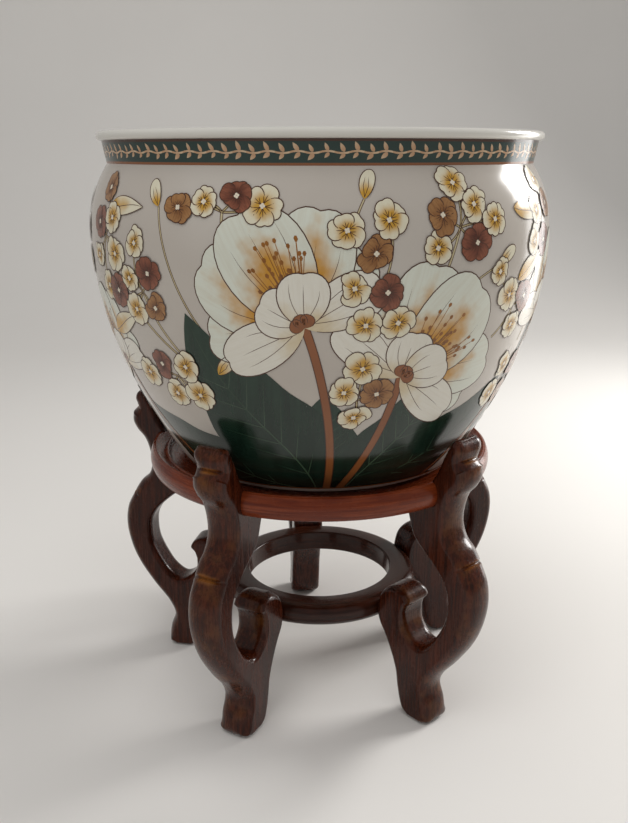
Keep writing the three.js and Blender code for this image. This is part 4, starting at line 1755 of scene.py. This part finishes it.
@dataclass(frozen=True)
class Stand:
    """The hardwood stand: two rings, five legs and the hidden dowels."""

    sizes: RingSizes = field(default_factory=RingSizes)
    ring_finish: Lacquer = Lacquer("red_brown_lacquer", screen(86, 28, 9), screen(130, 58, 26),
                                   screen(154, 90, 48), 0.3, Grain.RING)
    low_finish: Lacquer = Lacquer("dark_brown_lacquer", screen(38, 16, 8), screen(64, 30, 17),
                                  screen(104, 62, 36), 0.2, Grain.RING, 0.24)
    leg_finish: Lacquer = Lacquer("leg_lacquer", screen(38, 12, 4), screen(78, 32, 13), screen(140, 88, 40),
                                  0.4, Grain.BOARD)
    dowel_finish: BareWood = BareWood("dowel_wood", screen(178, 146, 100), screen(150, 116, 74))

    def build(self, nodes: Dict[str, bpy.types.Object]) -> List[bpy.types.Object]:
        """Makes the rings and legs, and dresses the dowels that are carried over.

        Args:
            nodes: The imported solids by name.

        Returns:
            The new pieces.
        """
        top = Ring("turned_top_ring", self.ring_finish, "ring_wood", tuple(self.sizes.top())).build()
        low = Ring("turned_lower_ring", self.low_finish, "lower_ring_wood", tuple(self.sizes.low())).build()
        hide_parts("top_ring")
        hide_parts("lower_ring")
        bare = self.dowel_finish.material()
        for name, node in nodes.items():
            if "dowel" in name:
                node.data.materials.clear()
                node.data.materials.append(bare)
        return [top, low, *Legs(self.sizes, self.leg_finish).build()]


# ---------------------------------------------------------------- studio


@dataclass(frozen=True)
class Softbox:
    """One large soft lamp."""

    name: str
    place: Triple
    aim: Triple
    size: Point
    power: float
    colour: Triple = (1.0, 1.0, 1.0)
    mirrored: bool = False

    def build(self) -> bpy.types.Object:
        """Hangs the lamp and turns it towards its aim.

        Returns:
            The lamp.
        """
        data = bpy.data.lights.new(self.name, "AREA")
        data.shape, data.size, data.size_y = "RECTANGLE", *self.size
        data.energy, data.color = self.power, self.colour
        lamp = linked(self.name, data)
        lamp.visible_glossy = self.mirrored
        lamp.location = self.place
        lamp.rotation_euler = (Vector(self.aim) - Vector(self.place)).to_track_quat("-Z", "Y").to_euler()
        return lamp


@dataclass(frozen=True)
class Studio:
    """Pale floor and backdrop, soft lamps and the camera."""

    paper: Backdrop = Backdrop("studio_paper", screen(233, 230, 226))
    camera_place: Triple = (-0.0886, -0.7056, 0.4415)
    pitch: float = 16.5
    yaw: float = 0.36
    focal: float = 876.17
    frame_height: float = 823.0
    lamps: Tuple[Softbox, ...] = (
        Softbox("window", (1.56, 0.58, 0.93), (0.0, 0.0, 0.36), (0.56, 0.56), 19.6, (1.0, 0.99, 0.97), True),
        Softbox("sheen", (1.1, 0.5, 0.45), (0.0, 0.0, 0.3), (0.5, 0.9), 4.5, (1.0, 0.99, 0.97), True),
        Softbox("overhead", (-0.2, -0.5, 1.7), (0.0, 0.0, 0.25), (1.4, 1.4), 10.0),
        Softbox("left_fill", (-1.4, -0.9, 0.8), (0.0, 0.0, 0.2), (1.0, 1.0), 2.4),
    )
    ambient: float = 0.35
    air: Colour = (1.0, 0.99, 0.975, 1.0)
    floor_half: float = 2.5
    wall_height: float = 2.6
    fold_round: float = 1.2

    def sweep(self) -> bpy.types.Object:
        """The floor, which turns up into the wall behind.

        Returns:
            The sheet.
        """
        mesh = bmesh.new()
        bmesh.ops.create_grid(mesh, x_segments=1, y_segments=1, size=self.floor_half)
        behind = self.floor_half - 0.1
        back = [e for e in mesh.edges if all(v.co.y > behind for v in e.verts)]
        raised = bmesh.ops.extrude_edge_only(mesh, edges=back)["geom"]
        raised = [v for v in raised if isinstance(v, bmesh.types.BMVert)]
        bmesh.ops.translate(mesh, verts=raised, vec=(0, 0, self.wall_height))
        fold = [e for e in mesh.edges if all(v.co.y > behind and v.co.z < 0.1 for v in e.verts)]
        bmesh.ops.bevel(mesh, geom=fold, offset=self.fold_round, offset_type="OFFSET", affect="EDGES",
                        segments=16, profile=0.5, material=-1)
        for face in mesh.faces:
            face.smooth = True
        made = linked("studio_sweep", baked("studio_sweep", mesh))
        made.data.materials.append(self.paper.material())
        return made

    def camera(self) -> bpy.types.Object:
        """The camera at the photograph's place, pitch and field of view.

        Returns:
            The camera.
        """
        data = bpy.data.cameras.new("camera")
        data.sensor_fit, data.sensor_width, data.sensor_height = "VERTICAL", SENSOR, SENSOR
        data.lens = self.focal / self.frame_height * SENSOR
        data.clip_start, data.clip_end = 0.01, 20.0
        made = linked("camera", data)
        x, y, _ = self.camera_place
        heading = math.atan2(-y, -x) + math.radians(self.yaw)
        pitch = math.radians(self.pitch)
        level = math.cos(pitch)
        look = Vector((math.cos(heading) * level, math.sin(heading) * level, -math.sin(pitch)))
        made.location = self.camera_place
        made.rotation_euler = look.to_track_quat("-Z", "Y").to_euler()
        bpy.context.scene.camera = made
        return made

    def build(self) -> None:
        """Sets the stage, the lamps, the world and the camera."""
        self.sweep()
        for lamp in self.lamps:
            lamp.build()
        world = bpy.data.worlds.new("studio_air")
        world.use_nodes = True
        inputs = world.node_tree.nodes["Background"].inputs
        inputs["Color"].default_value, inputs["Strength"].default_value = self.air, self.ambient
        bpy.context.scene.world = world
        bpy.context.scene.view_settings.view_transform = "Standard"
        self.camera()


def main() -> None:
    """Loads the frame, builds the studio, the bowl and the stand, and logs the number of pieces."""
    logging.basicConfig(level=logging.INFO, format="%(message)s")
    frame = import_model()
    Studio().build()
    pieces = Bowl().build() + Stand().build(frame["nodes"])
    LOG.info("%d pieces", len(pieces))


if __name__ == "__main__":
    main()
